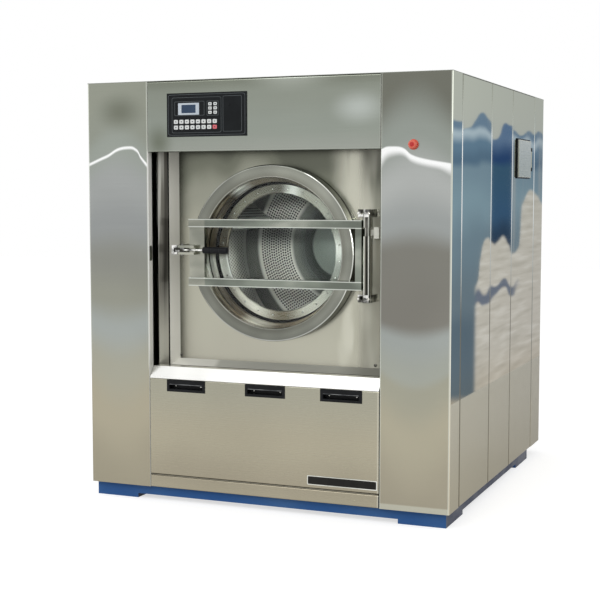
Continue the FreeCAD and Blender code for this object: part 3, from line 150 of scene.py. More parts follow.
def flat_board(name, corners, material):
    """One flat face with four corners."""
    mesh = bpy.data.meshes.new(name)
    mesh.from_pydata(corners, [], [(0, 1, 2, 3)])
    mesh.materials.append(material)
    return stand(name, mesh)


world = bpy.data.worlds.new("surround")
world.use_nodes = True
tree = world.node_tree
tree.nodes.clear()
ambient = wire(tree, "ShaderNodeBackground", {"Color": WHITE, "Strength": AMBIENT})
seen = wire(tree, "ShaderNodeBackground", {"Color": WHITE, "Strength": 1.0})
wire(tree, "ShaderNodeOutputWorld", {"Surface": fading(tree, seen_or_mirrored(tree), ambient, seen)})
bpy.context.scene.world = world

floor_paint, tree = bare_finish("white_floor")
floor_lit = wire(tree, "ShaderNodeBsdfDiffuse", {"Color": FLOOR_GREY})
floor_glow = wire(tree, "ShaderNodeEmission", {"Color": WHITE, "Strength": FLOOR_GLOW})
floor_seen = wire(tree, "ShaderNodeAddShader", {0: floor_lit.outputs[0], 1: floor_glow.outputs[0]})
floor_light = fading(tree, seen_or_mirrored(tree), floor_lit, floor_seen)
wire(tree, "ShaderNodeOutputMaterial", {"Surface": floor_light})
floor_half = FLOOR_SIZE / 2
floor_corners = [(x * floor_half, y * floor_half, 0) for x, y in ((-1, -1), (1, -1), (1, 1), (-1, 1))]
floor = flat_board("floor", floor_corners, floor_paint)

# The base: rails welded from folded plate, with a foot plate under each corner and the tub's cradle above,
# all sprayed in the same blue enamel over slightly uneven metal, with painted shade on the flanks that face
# sideways. The cabinet's frame has grey primer.
BASE_BLUE = ((54, 96, 156), (72, 110, 162))
BLUE_FLANK_SHADE = (44, 52, 74)
PRIMER_GREY = ((116, 120, 122), (132, 134, 134))
ENAMEL_DRIFT = 2.2
ENAMEL_SHEEN = 9.0
ENAMEL_SWING = (0.06, 0.08)
PEEL_NOISE = (420.0, 1.0)
PEEL_RELIEF = (0.0003, 0.15)
ENAMEL_SHINE = 0.12
SIDEWAYS = (0.5, 0.7)


def tone(red, green, blue):
    """A colour given as it looks on a screen, 0 to 255, turned into light: each part to the power 2.2."""
    return tuple((part / 255) ** 2.2 for part in (red, green, blue)) + (1.0,)


def finish_of(name):
    """A new material, its node tree and its surface shader."""
    material = bpy.data.materials.new(name)
    material.use_nodes = True
    return material, material.node_tree, material.node_tree.nodes["Principled BSDF"]


def feed(tree, shader, **sockets):
    """Set or wire the shader's sockets; underscores stand for spaces."""
    for name, value in sockets.items():
        plug(tree, shader.inputs[name.replace("_", " ")], value)


def parts_of(tree, vector):
    """The X, Y and Z of a vector."""
    return wire(tree, "ShaderNodeSeparateXYZ", {"Vector": vector}).outputs


def facing_of(tree):
    """The way that the piece's surface faces, as X, Y and Z."""
    return parts_of(tree, wire(tree, "ShaderNodeTexCoord").outputs["Normal"])


def drawn_place(tree, scale, shift=(0.0, 0.0, 0.0)):
    """The piece's own coordinates, each multiplied by its scale and then shifted."""
    spot = wire(tree, "ShaderNodeTexCoord").outputs["Object"]
    return wire(tree, "ShaderNodeMapping", {"Vector": spot, "Location": shift, "Scale": scale}).outputs[0]


def speckle(tree, scale, detail=3.0, stretch=(1.0, 1.0, 1.0)):
    """Noise on the piece's own coordinates, each axis first multiplied by its stretch."""
    noise = {"Vector": drawn_place(tree, stretch), "Scale": scale, "Detail": detail}
    return wire(tree, "ShaderNodeTexNoise", noise).outputs["Fac"]


def between(tree, factor, low, high, start=0.3, end=0.7, curve="SMOOTHSTEP"):
    """A number that runs from low to high while the factor runs from start to end."""
    span = {"Value": factor, "From Min": start, "From Max": end, "To Min": low, "To Max": high}
    return wire(tree, "ShaderNodeMapRange", span, interpolation_type=curve).outputs[0]


def rising(tree, factor, start, end, most=1.0):
    """Zero before the start, the most after the end, and a smooth rise between them."""
    return between(tree, factor, 0.0, most, start, end)


def swinging(tree, noise, middle, less, more):
    """A number that swings with the noise, by so much less and so much more than its middle."""
    return between(tree, noise, middle - less, middle + more)


def mixed(tree, factor, first, second):
    """A colour between two others."""
    return wire(tree, "ShaderNodeMixRGB", {"Fac": factor, "Color1": first, "Color2": second}).outputs[0]


def bump(tree, height, distance, strength):
    """A surface normal tilted by a height map."""
    relief = {"Height": height, "Distance": distance, "Strength": strength}
    return wire(tree, "ShaderNodeBump", relief).outputs[0]


def dress(material, *nodes):
    """Give a finish to pieces of the frame."""
    for node in nodes:
        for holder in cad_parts[node].material_slots:
            holder.material = material


def enamel(name, colour, worn, gloss, shaded_flank=None):
    """Sprayed paint: a slow shift between two tones, orange-peel relief and, if given, painted shade on the
    flanks that face sideways.
    """
    material, tree, shader = finish_of(name)
    drift = between(tree, speckle(tree, ENAMEL_DRIFT), 0.0, 1.0)
    paint = mixed(tree, drift, tone(*colour), tone(*worn))
    if shaded_flank:
        aside = calc(tree, "ABSOLUTE", facing_of(tree)["X"])
        paint = mixed(tree, rising(tree, aside, *SIDEWAYS), paint, tone(*shaded_flank))
    peel = bump(tree, speckle(tree, *PEEL_NOISE), *PEEL_RELIEF)
    feed(tree, shader, Base_Color=paint, Normal=peel, Specular_IOR_Level=ENAMEL_SHINE)
    feed(tree, shader, Roughness=swinging(tree, speckle(tree, ENAMEL_SHEEN), gloss, *ENAMEL_SWING))
    return material


blue_enamel = enamel("blue_enamel", *BASE_BLUE, gloss=0.4, shaded_flank=BLUE_FLANK_SHADE)
dress(blue_enamel, "base_frame", "foot_pads", "tub_cradle")
dress(enamel("frame_primer", *PRIMER_GREY, gloss=0.55), "cabinet_frame")

# The front columns, bent from satin stainless and slightly bowed. What they mirror is painted on: bands of
# painted reflection that arch above the middle and sag below it, a painted highlight line across each one
# under the fascia, painted highlights along their edges and on the right one's foot, a dark painted
# reflection high on the left one, and a pale painted highlight on the left one's inner lip.
COLUMN_MIDDLE = 0.779
COLUMN_HALF = 0.171
COLUMN_EDGES = (COLUMN_MIDDLE - COLUMN_HALF, COLUMN_MIDDLE + COLUMN_HALF)
COLUMN_ROUGHNESS = 0.22
BOW_CENTRE = 1.15
BOW = 0.16
TURNED = (0.4, 0.6)
EDGE_TINT = (0.45, 0.45, 0.45, 1.0)
EDGE_GLEAM = (206, 210, 200)
EDGE_FADE = (0.003, 0.010)
EDGE_SHARE = 0.75
EDGE_START_FADE = 0.05
FOOT_FOLD = (0.092, 0.100)
FOOT_SHARE = 0.7
FOOT_GLEAM = (184, 184, 170)
GLINT = (248, 249, 248)
GLINT_EDGE = 0.010
GLINT_CORE = -0.15
LEVEL_LINES = (3.0, 3.0, 420.0)
LINE_NOISE = (1.0, 4.0)
LINE_RELIEF = (0.0001, 0.02)
LINE_SHADE = (0.01, 0.01)
LINE_SWING = (0.01, 0.02)
CLOUD_NOISE = (1.7, 2.0)
CLOUD_SHADE = (0.04, 0.04)
THROUGH = 50.0
RIGHT_REFLECTION_TONES = (
    (0.07, (152, 146, 129)), (0.40, (161, 156, 137)), (0.62, (151, 150, 135)), (0.69, (152, 155, 146)),
    (0.86, (152, 157, 153)), (0.94, (124, 122, 115)), (1.28, (124, 123, 116)), (1.42, (152, 156, 154)),
    (1.62, (172, 175, 172)), (1.84, (146, 152, 145)), (2.10, (112, 113, 104)),
)
RIGHT_LINE = (
    (-0.171, 1.744), (-0.125, 1.757), (-0.080, 1.755), (-0.020, 1.718), (0.020, 1.704), (0.171, 1.676),
)
RIGHT_TAILS = ((-0.171, 0.105), (-0.110, 0.050), (-0.020, 0.036), (0.080, 0.036), (0.171, 0.062))
LEFT_REFLECTION_TONES = (
    (0.07, (152, 146, 128)), (0.40, (159, 153, 134)), (0.66, (156, 155, 141)), (0.86, (154, 159, 155)),
    (1.02, (143, 144, 133)), (1.22, (137, 138, 131)), (1.40, (146, 149, 148)), (1.62, (158, 161, 159)),
    (1.80, (152, 158, 150)), (1.93, (146, 150, 139)), (2.10, (146, 149, 137)),
)
LEFT_LINE = (
    (-0.171, 1.692), (-0.072, 1.731), (0.068, 1.777), (0.103, 1.766), (0.130, 1.730), (0.171, 1.685),
)
LEFT_TAILS = ((-0.171, 0.014), (0.060, 0.014), (0.171, 0.022))
LEFT_DARK_REFLECTION = ((-0.765, 1.955), (0.17, 0.12))
LEFT_DARK_REFLECTION_TONE = (118, 121, 109)
LEFT_SHINE_START = 0.65
LIP_HIGHLIGHT_TONES = (
    (0.66, (196, 196, 188)), (0.80, (244, 244, 236)), (1.70, (255, 255, 250)), (1.80, (204, 206, 196)),
)
LIP_METAL = 0.1
PLAIN_TONES = (
    (0.07, (162, 156, 138)), (0.50, (170, 166, 149)), (0.90, (160, 161, 152)), (1.40, (154, 158, 153)),
    (1.80, (164, 169, 159)), (2.10, (174, 178, 165)),
)
MIRROR_TONES = (
    (0.07, (196, 189, 168)), (0.50, (206, 201, 183)), (0.80, (216, 216, 205)), (2.10, (215, 219, 206)),
)
MIRROR_ROUGHNESS = 0.03


def falling(tree, factor, start, end, most=1.0):
    """The most before the start, zero after the end, and a smooth fall between them."""
    return between(tree, factor, most, 0.0, start, end)


def graded(tree, share, none, full):
    """A number that goes from one value to another as a share goes from zero to one."""
    return between(tree, share, none, full, 0.0, 1.0)


def place_of(tree):
    """The piece's own coordinates as X, Y and Z."""
    return parts_of(tree, wire(tree, "ShaderNodeTexCoord").outputs["Object"])


def height_of(tree):
    """The height of each point of a piece."""
    return place_of(tree)["Z"]


def product(tree, first, second):
    """Two numbers multiplied."""
    return calc(tree, "MULTIPLY", first, second)


def off_from(tree, coordinate, line):
    """The distance of a coordinate from a line, on either side of it."""
    return calc(tree, "ABSOLUTE", calc(tree, "SUBTRACT", coordinate, line))


def layered(tree, colour, *layers):
    """A colour with screen tones laid over it in turn, each by its own factor."""
    for factor, shade in layers:
        colour = mixed(tree, factor, colour, tone(*shade))
    return colour


def ramp(tree, factor, stops):
    """A colour that passes through a few stops, each a value of the factor and a screen colour."""
    low, high = stops[0][0], stops[-1][0]
    run = between(tree, factor, 0.0, 1.0, low, high, "LINEAR")
    node = wire(tree, "ShaderNodeValToRGB", {"Fac": run})
    bar = node.color_ramp
    bar.interpolation = "EASE"
    for index in (0, -1):
        bar.elements[index].color = tone(*stops[index][1])
    for value, colour in stops[1:-1]:
        bar.elements.new((value - low) / (high - low)).color = tone(*colour)
    return node.outputs["Color"]


def scaled(tree, colour, level):
    """A colour made lighter or darker by a factor."""
    return wire(tree, "ShaderNodeVectorMath", {0: colour, 1: level}, operation="MULTIPLY").outputs[0]


def ground(tree, shader, colour, roughness, lines=LEVEL_LINES, metal=1.0):
    """Ground stainless: a colour broken by fine lines and faint clouds, the lines also in the gloss."""
    grain = speckle(tree, *LINE_NOISE, lines)
    clouds = swinging(tree, speckle(tree, *CLOUD_NOISE), 1.0, *CLOUD_SHADE)
    level = product(tree, clouds, swinging(tree, grain, 1.0, *LINE_SHADE))
    feed(tree, shader, Base_Color=scaled(tree, colour, level), Metallic=metal, Specular_Tint=EDGE_TINT)
    feed(tree, shader, Roughness=swinging(tree, grain, roughness, *LINE_SWING))
    feed(tree, shader, Normal=bump(tree, grain, *LINE_RELIEF))


def bowed_height(tree, middle):
    """Height seen in a bowed sheet: the way from a centre grows with the square of the way to an edge."""
    spot = place_of(tree)
    way = calc(tree, "DIVIDE", calc(tree, "SUBTRACT", spot["X"], middle), COLUMN_HALF)
    swell = calc(tree, "MULTIPLY_ADD", product(tree, way, way), BOW, 1.0)
    return calc(tree, "MULTIPLY_ADD", calc(tree, "SUBTRACT", spot["Z"], BOW_CENTRE), swell, BOW_CENTRE)


def profile(tree, factor, points):
    """A number that follows a smooth curve through a few points, each a value of the factor and a height."""
    values, heights = zip(*points)
    low, high = values[0], values[-1]
    least, most = min(heights), max(heights)
    placed = [((value - low) / (high - low), (height - least) / (most - least)) for value, height in points]
    node = wire(tree, "ShaderNodeFloatCurve", {"Value": between(tree, factor, 0.0, 1.0, low, high, "LINEAR")})
    curve = node.mapping.curves[0]
    curve.points[0].location = placed[0]
    curve.points[-1].location = placed[-1]
    for spot in placed[1:-1]:
        curve.points.new(*spot)
    for point in curve.points:
        point.handle_type = "AUTO_CLAMPED"
    node.mapping.update()
    return between(tree, node.outputs[0], least, most, 0.0, 1.0, "LINEAR")


def glint_line(tree, middle, points, tails):
    """A painted highlight line over a column: a height curve over width, sharp above and fading below over a
    tail.
    """
    spot = place_of(tree)
    across = calc(tree, "SUBTRACT", spot["X"], middle)
    above = calc(tree, "SUBTRACT", spot["Z"], profile(tree, across, points))
    fade = calc(tree, "DIVIDE", above, profile(tree, across, tails))
    return product(tree, falling(tree, above, 0.0, GLINT_EDGE), rising(tree, fade, -1.0, GLINT_CORE))


def looks_right(tree):
    """One on faces that look to the machine's right, zero elsewhere."""
    return rising(tree, facing_of(tree)["X"], *SIDEWAYS)


def side_tone(tree):
    """Plain steel with painted reflection tones by height, warmer below: paler on the polished right side
    than on faces that look any other way.
    """
    height = height_of(tree)
    return mixed(tree, looks_right(tree), ramp(tree, height, PLAIN_TONES), ramp(tree, height, MIRROR_TONES))


def on_lines(tree, coordinate, lines, fade, most):
    """The most on a few lines of one coordinate, falling to zero between two distances from each."""
    return most_of(tree, *[falling(tree, off_from(tree, coordinate, line), *fade, most) for line in lines])


def edge_shine(tree, edges, start=0.0):
    """A share along each upright edge above a starting height, fading to zero a few millimetres from it."""
    spot = place_of(tree)
    shine = on_lines(tree, spot["X"], edges, EDGE_FADE, EDGE_SHARE)
    return product(tree, shine, rising(tree, spot["Z"], start, start + EDGE_START_FADE))


def soft_spot(tree, centre, reach):
    """One at a point and zero at the rim of an egg about it: the distance with each axis over its reach."""
    scale = [1.0 / size for size in reach]
    shift = [-place * size for place, size in zip(centre, scale)]
    egg = drawn_place(tree, scale, shift)
    far = wire(tree, "ShaderNodeVectorMath", {0: egg}, operation="LENGTH").outputs["Value"]
    return falling(tree, far, 0.0, 1.0)


def front_spot(tree, centre, reach):
    """A soft spot that goes straight through the piece from the front."""
    return soft_spot(tree, (centre[0], 0.0, centre[1]), (reach[0], THROUGH, reach[1]))


# The right column: bands of painted reflection, a painted highlight line, painted highlights on its foot and
# edges.
right_column, tree, shader = finish_of("right_column_sheet")
front = layered(
    tree, ramp(tree, bowed_height(tree, COLUMN_MIDDLE), RIGHT_REFLECTION_TONES),
    (falling(tree, height_of(tree), *FOOT_FOLD, FOOT_SHARE), FOOT_GLEAM),
    (glint_line(tree, COLUMN_MIDDLE, RIGHT_LINE, RIGHT_TAILS), GLINT),
    (edge_shine(tree, COLUMN_EDGES), EDGE_GLEAM),
)
turned_side = rising(tree, facing_of(tree)["X"], *TURNED)
ground(tree, shader, mixed(tree, turned_side, front, side_tone(tree)), COLUMN_ROUGHNESS)
feed(tree, shader, Roughness=graded(tree, turned_side, COLUMN_ROUGHNESS, MIRROR_ROUGHNESS))
dress(right_column, "right_front_column")

# The left column: bands of painted reflection, a painted highlight line, a dark painted reflection, edge
# highlights.
left_column, tree, shader = finish_of("left_column_sheet")
front = layered(
    tree, ramp(tree, bowed_height(tree, -COLUMN_MIDDLE), LEFT_REFLECTION_TONES),
    (glint_line(tree, -COLUMN_MIDDLE, LEFT_LINE, LEFT_TAILS), GLINT),
    (front_spot(tree, *LEFT_DARK_REFLECTION), LEFT_DARK_REFLECTION_TONE),
    (edge_shine(tree, [-edge for edge in COLUMN_EDGES], LEFT_SHINE_START), EDGE_GLEAM),
)
sideways = facing_of(tree)["X"]
turned_in = rising(tree, sideways, *TURNED)
outer_side = falling(tree, sideways, -TURNED[1], -TURNED[0])
# The inner lip is a painted highlight, pale by height, on steel made mostly non-metallic.
front = mixed(tree, turned_in, front, ramp(tree, height_of(tree), LIP_HIGHLIGHT_TONES))
lip_metal = graded(tree, turned_in, 1.0, LIP_METAL)
ground(tree, shader, mixed(tree, outer_side, front, side_tone(tree)), COLUMN_ROUGHNESS, metal=lip_metal)
dress(left_column, "left_front_column")

# The control fascia and the lower panel with its kick strip: satin stainless sheets between the columns,
# bent back at their edges, the fascia greener and the low panel warmer. Soft light and dark spots of painted
# reflection lie on the fascia, and a painted highlight runs up the low panel's right edge.
FASCIA_TONES = (
    (1.75, (152, 156, 148)), (1.86, (143, 149, 140)), (2.02, (138, 143, 133)), (2.10, (122, 126, 115)),
)
FASCIA_REFLECTION_SPOTS = (
    ((0.50, 1.945), (0.17, 0.10), (172, 178, 172)),
    ((0.16, 2.13), (0.30, 0.12), (166, 171, 162)),
    ((-0.545, 1.80), (0.10, 0.12), (116, 121, 109)),
)
LOW_TONES = (
    (0.07, (160, 153, 134)), (0.136, (155, 148, 130)), (0.34, (162, 156, 137)), (0.62, (154, 152, 137)),
)
LOW_EDGES = (0.606,)
LOW_GLEAM = (190, 186, 170)

fascia_sheet, tree, shader = finish_of("fascia_sheet")
reflection_spots = [(front_spot(tree, centre, reach), shade) for centre, reach, shade in FASCIA_REFLECTION_SPOTS]
ground(tree, shader, layered(tree, ramp(tree, height_of(tree), FASCIA_TONES), *reflection_spots), roughness=0.24)
dress(fascia_sheet, "top_fascia")

low_sheet, tree, shader = finish_of("low_panel_sheet")
colour = layered(tree, ramp(tree, height_of(tree), LOW_TONES), (edge_shine(tree, LOW_EDGES), LOW_GLEAM))
ground(tree, shader, colour, roughness=0.26)
dress(low_sheet, "lower_front_panel", "kick_strip", "soap_hopper", "drain_pipe")

# The front's seams: the stainless sheets have folded edges that catch the light, painted as pale strips in
# three of the narrow gaps, above the kick strip and where the right column meets the low panel and the
# fascia.
SEAM_DEPTH = 0.0022
SEAM_RISE = 0.002
SEAM_STRIPS = ((0.0, 0.1340, 1.210, 0.0038), (0.607, 0.3805, 0.0018, 0.487), (0.607, 1.9245, 0.0018, 0.344))
SEAM_HIGHLIGHT_TONES = (
    (0.130, (142, 138, 124)), (0.145, (156, 151, 134)), (0.62, (150, 148, 133)), (1.75, (206, 209, 198)),
    (2.10, (200, 203, 192)),
)
CORNER_POWER = 6.0
ROUND_STEPS = 24
PAD_SHOULDER = 0.6
PAD_TOP = 0.93


def turns(count, shift=0.0):
    """Even angles round a full turn, moved on by a share of one step."""
    return (np.arange(count) + shift) * 2 * math.pi / count


def rounded_outline(width, height, steps=ROUND_STEPS, power=CORNER_POWER):
    """A box with soft corners: x and z go as the cosine and sine of the angle to the power 2 / power."""
    angle = turns(steps, 0.5)
    ways = ((np.cos(angle), width), (np.sin(angle), height))
    return [np.sign(way) * np.abs(way) ** (2 / power) * size / 2 for way, size in ways]


def level_ring(across, up, lift):
    """Points round an outline, all at one height."""
    return np.stack([across, up, np.full_like(across, lift)], axis=-1)


def ring_faces(rings, steps, loop=False):
    """Quads between neighbouring rings of points; loop also joins the last ring to the first."""
    row = np.arange(rings if loop else rings - 1)[:, None]
    column = np.arange(steps)[None, :]
    after = (column + 1) % steps
    below = (row + 1) % rings
    corners = (row * steps + column, row * steps + after, below * steps + after, below * steps + column)
    return np.stack(np.broadcast_arrays(*corners), axis=-1).reshape(-1, 4).tolist()


def capped(rings):
    """Points and faces of a closed lump from a stack of rings, with a flat cap on each end."""
    count, steps = rings.shape[:2]
    faces = ring_faces(count, steps)
    faces.append(list(range(steps))[::-1])
    faces.append(list(range((count - 1) * steps, count * steps)))
    return rings.reshape(-1, 3), faces


def tablet(width, height, rise, rim=PAD_TOP, power=CORNER_POWER):
    """A raised pad: the soft-cornered outline at the foot, near the top, and drawn in a little on top."""
    across, up = rounded_outline(width, height, power=power)
    stages = ((1.0, 0.0), (1.0, rise * PAD_SHOULDER), (rim, rise))
    return capped(np.array([level_ring(across * size, up * size, lift) for size, lift in stages]))


def laid_on(points, faces, centres, right, up, out):
    """A shape laid on a surface: each copy is centre + x right + y up + height out."""
    x, y, height = (points[None, :, i, None] for i in range(3))
    laid = centres[:, None] + x * right[:, None] + y * up[:, None] + height * out[:, None]
    copies = np.arange(len(centres)) * len(points)
    all_faces = [[corner + start for corner in face] for start in copies.tolist() for face in faces]
    return laid.reshape(-1, 3), all_faces


def facing(centres, right, up):
    """The centres with one right, up and outward direction for all of them."""
    centres = np.atleast_2d(np.asarray(centres, dtype=float))
    right, up = (np.tile(np.asarray(way, dtype=float), (len(centres), 1)) for way in (right, up))
    return centres, right, up, np.cross(right, up)


def at_front(centres):
    """Places on a face that looks to the machine's front."""
    return facing(centres, (1, 0, 0), (0, 0, 1))


def add_piece(name, shape, places, material, body, smooth=False):
    """Lay a shape at its places as one mesh, finish it, and let it ride on a body, if one is named."""
    points, faces = laid_on(*shape, *places)
    mesh = bpy.data.meshes.new(name)
    mesh.from_pydata(points.tolist(), [], faces)
    mesh.polygons.foreach_set("use_smooth", [smooth] * len(mesh.polygons))
    mesh.materials.append(material)
    mesh.update()
    piece = stand(name, mesh)
    if body:
        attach(piece, body)
    return piece


front_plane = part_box("lower_front_panel")[0][1]
# The seam strips carry painted highlight, paler higher up.
seam_highlight, tree, shader = finish_of("seam_highlight")
ground(tree, shader, ramp(tree, height_of(tree), SEAM_HIGHLIGHT_TONES), roughness=0.3, metal=0.2)
for index, (across, up, width, height) in enumerate(SEAM_STRIPS):
    place = at_front((across, front_plane + SEAM_DEPTH, up))
    strip = tablet(width, height, SEAM_RISE, 1.0)
    add_piece(f"seam_strip_{index + 1}", strip, place, seam_highlight, "cabinet")

# The sill lip: a sloping stainless strip under the door opening, folded and polished almost white. A small
# dark catch plate is fixed on the inner lip of the left column.
SILL_STEEL = ((246, 246, 244), (232, 232, 228))
CATCH_STEEL = ((132, 134, 128), (70, 72, 68))
CATCH_SIZE = (0.026, 0.075)
CATCH_MIDDLE = (-0.862, 1.250)
CATCH_INSET = 0.002
CATCH_RISE = 0.0015
STREAK_SPAN = (0.35, 0.68)
STREAK_DRAW = (1.0, 1.0, 0.35)
DENT_NOISE = (6.0, 2.0)
DENT_RELIEF = (0.004, 0.05)
DENT_SWING = (0.03, 0.04)


def bright_steel(name, pale, deep, roughness, drawn=STREAK_DRAW, cloud=2.4):
    """Bright stainless: streaks of pale and deep tone from stretched noise, low roughness, faint dents."""
    material, tree, shader = finish_of(name)
    streaks = rising(tree, speckle(tree, cloud, 3.0, drawn), *STREAK_SPAN)
    dents = speckle(tree, *DENT_NOISE)
    feed(tree, shader, Base_Color=mixed(tree, streaks, tone(*deep), tone(*pale)), Metallic=1.0)
    feed(tree, shader, Roughness=swinging(tree, dents, roughness, *DENT_SWING))
    feed(tree, shader, Normal=bump(tree, dents, *DENT_RELIEF))
    return material


dress(bright_steel("lip_sheet", *SILL_STEEL, roughness=0.22), "sill_lip")
lip_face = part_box("top_fascia")[0][0] - CATCH_INSET
catch_place = facing((lip_face, *CATCH_MIDDLE), (0, 1, 0), (0, 0, 1))
catch_steel = bright_steel("catch_steel", *CATCH_STEEL, roughness=0.3, cloud=30.0)
catch_pad = tablet(*CATCH_SIZE, CATCH_RISE)
add_piece("catch_plate", catch_pad, catch_place, catch_steel, "cabinet")

# The sides, rear and roof: stainless panels with bent seams, along each of which a line of light is painted.
# The right side is polished to a mirror, the other sheets are bright-annealed. The roof's front edge is
# painted darker as painted shade.
SEAMS = (-0.7115, -0.1555, 0.3045, 0.8525)
SEAM_FADE = (0.005, 0.010)
SEAM_SHARE = 0.9
SEAM_LIGHT_TONES = (
    (0.07, (96, 90, 76)), (0.95, (98, 96, 88)), (1.20, (176, 180, 178)), (1.45, (238, 240, 240)),
    (1.80, (242, 244, 244)), (1.90, (150, 154, 146)), (2.10, (112, 114, 104)),
)
SIDE_METAL = 0.55
SIDE_ROUGHNESS = 0.19
SIDE_NOISE = (4.0, 2.0)
SIDE_RELIEF = (0.0005, 0.03)
SIDE_NODES = ("side_panel_front", "side_panel_middle", "side_panel_rear", "rear_corner")
REAR_STEEL = ((172, 174, 169), (158, 161, 159))
ROOF_TONES = ((0.35, (188, 191, 187)), (0.68, (198, 200, 194)))
ROOF_CLOUDS = 1.2
ROOF_EDGE_SHADE = (138, 142, 132)
ROOF_EDGE_METAL = 0.3

side_sheet, tree, shader = finish_of("side_sheet")
spot = place_of(tree)
on_seam = on_lines(tree, spot["Y"], SEAMS, SEAM_FADE, SEAM_SHARE)
colour = mixed(tree, on_seam, side_tone(tree), ramp(tree, spot["Z"], SEAM_LIGHT_TONES))
polished = looks_right(tree)
feed(tree, shader, Base_Color=colour, Specular_Tint=EDGE_TINT, Specular_IOR_Level=0.0)
feed(tree, shader, Metallic=graded(tree, polished, SIDE_METAL, 1.0))
feed(tree, shader, Roughness=graded(tree, polished, SIDE_ROUGHNESS, MIRROR_ROUGHNESS))
feed(tree, shader, Normal=bump(tree, speckle(tree, *SIDE_NOISE), *SIDE_RELIEF))
dress(side_sheet, *[f"{side}_{node}" for side in ("left", "right") for node in SIDE_NODES])
dress(bright_steel("rear_sheet", *REAR_STEEL, roughness=0.28, cloud=1.2), "rear_panel")
roof_sheet, tree, shader = finish_of("roof_sheet")
# The roof's front edge: painted shade, on less metallic steel.
shaded_roof_edge = falling(tree, facing_of(tree)["Z"], *TURNED)
colour = layered(tree, ramp(tree, speckle(tree, ROOF_CLOUDS), ROOF_TONES), (shaded_roof_edge, ROOF_EDGE_SHADE))
ground(tree, shader, colour, roughness=0.28, metal=graded(tree, shaded_roof_edge, 1.0, ROOF_EDGE_METAL))
dress(roof_sheet, "roof_panel")

# The hall beside the machine: a board that stands behind it to the right and shows only in polished steel,
# so that the right side has a pale wall, blue forms and a light floor to mirror.
BOARD_ACROSS = 1.9
BOARD_SPAN = ((1.2, 0.0), (7.2, 2.7))
BOARD_FADE = ((1.2, 2.4), (5.8, 7.2))
UPPER_EDGE = (
    (-0.884, 1.892), (-0.713, 1.892), (-0.705, 1.850), (-0.480, 1.895), (-0.272, 1.929), (-0.165, 1.912),
    (-0.150, 1.835), (0.019, 1.863), (0.169, 1.921), (0.297, 1.918), (0.312, 1.890), (0.556, 1.878),
    (0.793, 1.897), (1.097, 1.890),
)
LOWER_EDGE = (
    (-0.884, 1.10), (-0.430, 1.10), (-0.360, 1.22), (-0.211, 1.312), (-0.165, 1.300), (-0.150, 1.290),
    (0.050, 1.320), (0.250, 1.290), (0.330, 1.240), (0.480, 1.270), (0.560, 1.480), (0.860, 1.560),
    (1.097, 1.500),
)
SWAY_NOISE = (2.5, 0.0)
EDGE_SWAY = (0.016, 0.016)
UPPER_BLUR = (-0.008, 0.008)
LOWER_BLUR = (-0.012, 0.012)
BLUE_TONES = (
    (0.50, (106, 122, 130)), (0.90, (96, 114, 124)), (1.05, (110, 128, 136)), (1.30, (116, 138, 148)),
    (1.50, (132, 158, 168)), (1.66, (124, 148, 160)), (1.71, (92, 118, 138)), (1.78, (104, 132, 152)),
    (1.835, (176, 194, 202)), (1.87, (112, 136, 156)),
)
STREAK_TONE = (176, 180, 176)
STREAK_NOISE = (3.1, 2.0, (0.0, 3.4, 0.3))
STREAK_CUT = (0.48, 0.62)
STREAK_START = (-0.42, 0.36)
STREAK_SHARE = 0.5
DEEP_MIDDLE = 0.0745
DEEP_FADE = (0.214, 0.220)
DEEP_SHARE = 0.95
DEEP_TONES = (
    (1.33, (46, 66, 88)), (1.45, (56, 88, 118)), (1.66, (58, 90, 114)), (1.72, (46, 72, 112)),
    (1.86, (96, 122, 152)),
)
RIPPLE_TONES = ((0.30, (192, 190, 176)), (0.48, (204, 202, 188)), (0.70, (218, 217, 204)))
RIPPLE_NOISE = (2.0, 3.0, (0.0, 0.8, 11.0))
RIPPLE_START = (-0.490, -0.400)
BAND_HEIGHT = 1.05
BAND_SWAY = 2.0
BAND_FADE = (0.014, 0.034)
BAND_SHARE = 0.85
BAND_END = (0.30, 0.56)
BAND_TONE = (88, 104, 126)
WALL_TONES = ((1.80, (188, 192, 182)), (2.05, (190, 194, 182)))
BEIGE_TONES = ((0.07, (178, 171, 152)), (0.50, (188, 183, 165)))
BEIGE_EDGE = (0.41, 0.48)
BEIGE_FALL = 0.17
STEEL_TINT = (190, 192, 181)
side_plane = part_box("right_side_panel_middle")[1][0]
mirrored_eye = 2 * side_plane - CAMERA_PLACE[0]
board_scale = (BOARD_ACROSS - mirrored_eye) / (side_plane - mirrored_eye)


def hall_place(tree):
    """A point of the board, drawn back to the size that it has in the machine's side."""
    shift = [0.0] + [place * (1 - 1 / board_scale) for place in CAMERA_PLACE[1:]]
    return parts_of(tree, drawn_place(tree, (1.0, 1 / board_scale, 1 / board_scale), shift))


def blue_forms(tree, along, height):
    """Blue bands by height, with upright pale streaks that grow towards the rear and a deep middle panel."""
    streaks = rising(tree, speckle(tree, *STREAK_NOISE), *STREAK_CUT)
    pale_streak = product(tree, streaks, rising(tree, along, *STREAK_START, STREAK_SHARE))
    blue = layered(tree, ramp(tree, height, BLUE_TONES), (pale_streak, STREAK_TONE))
    deep = falling(tree, off_from(tree, along, DEEP_MIDDLE), *DEEP_FADE, DEEP_SHARE)
    return mixed(tree, deep, blue, ramp(tree, height, DEEP_TONES))


def pale_ripples(tree, along, height, sway):
    """Level ripples of pale tone, crossed by one blue band that sways and ends towards the rear."""
    ripple = speckle(tree, *RIPPLE_NOISE)
    off = calc(tree, "MULTIPLY_ADD", sway, BAND_SWAY, calc(tree, "SUBTRACT", height, BAND_HEIGHT))
    band = falling(tree, calc(tree, "ABSOLUTE", off), *BAND_FADE, BAND_SHARE)
    band = product(tree, band, falling(tree, along, *BAND_END))
    return layered(tree, ramp(tree, ripple, RIPPLE_TONES), (band, BAND_TONE))


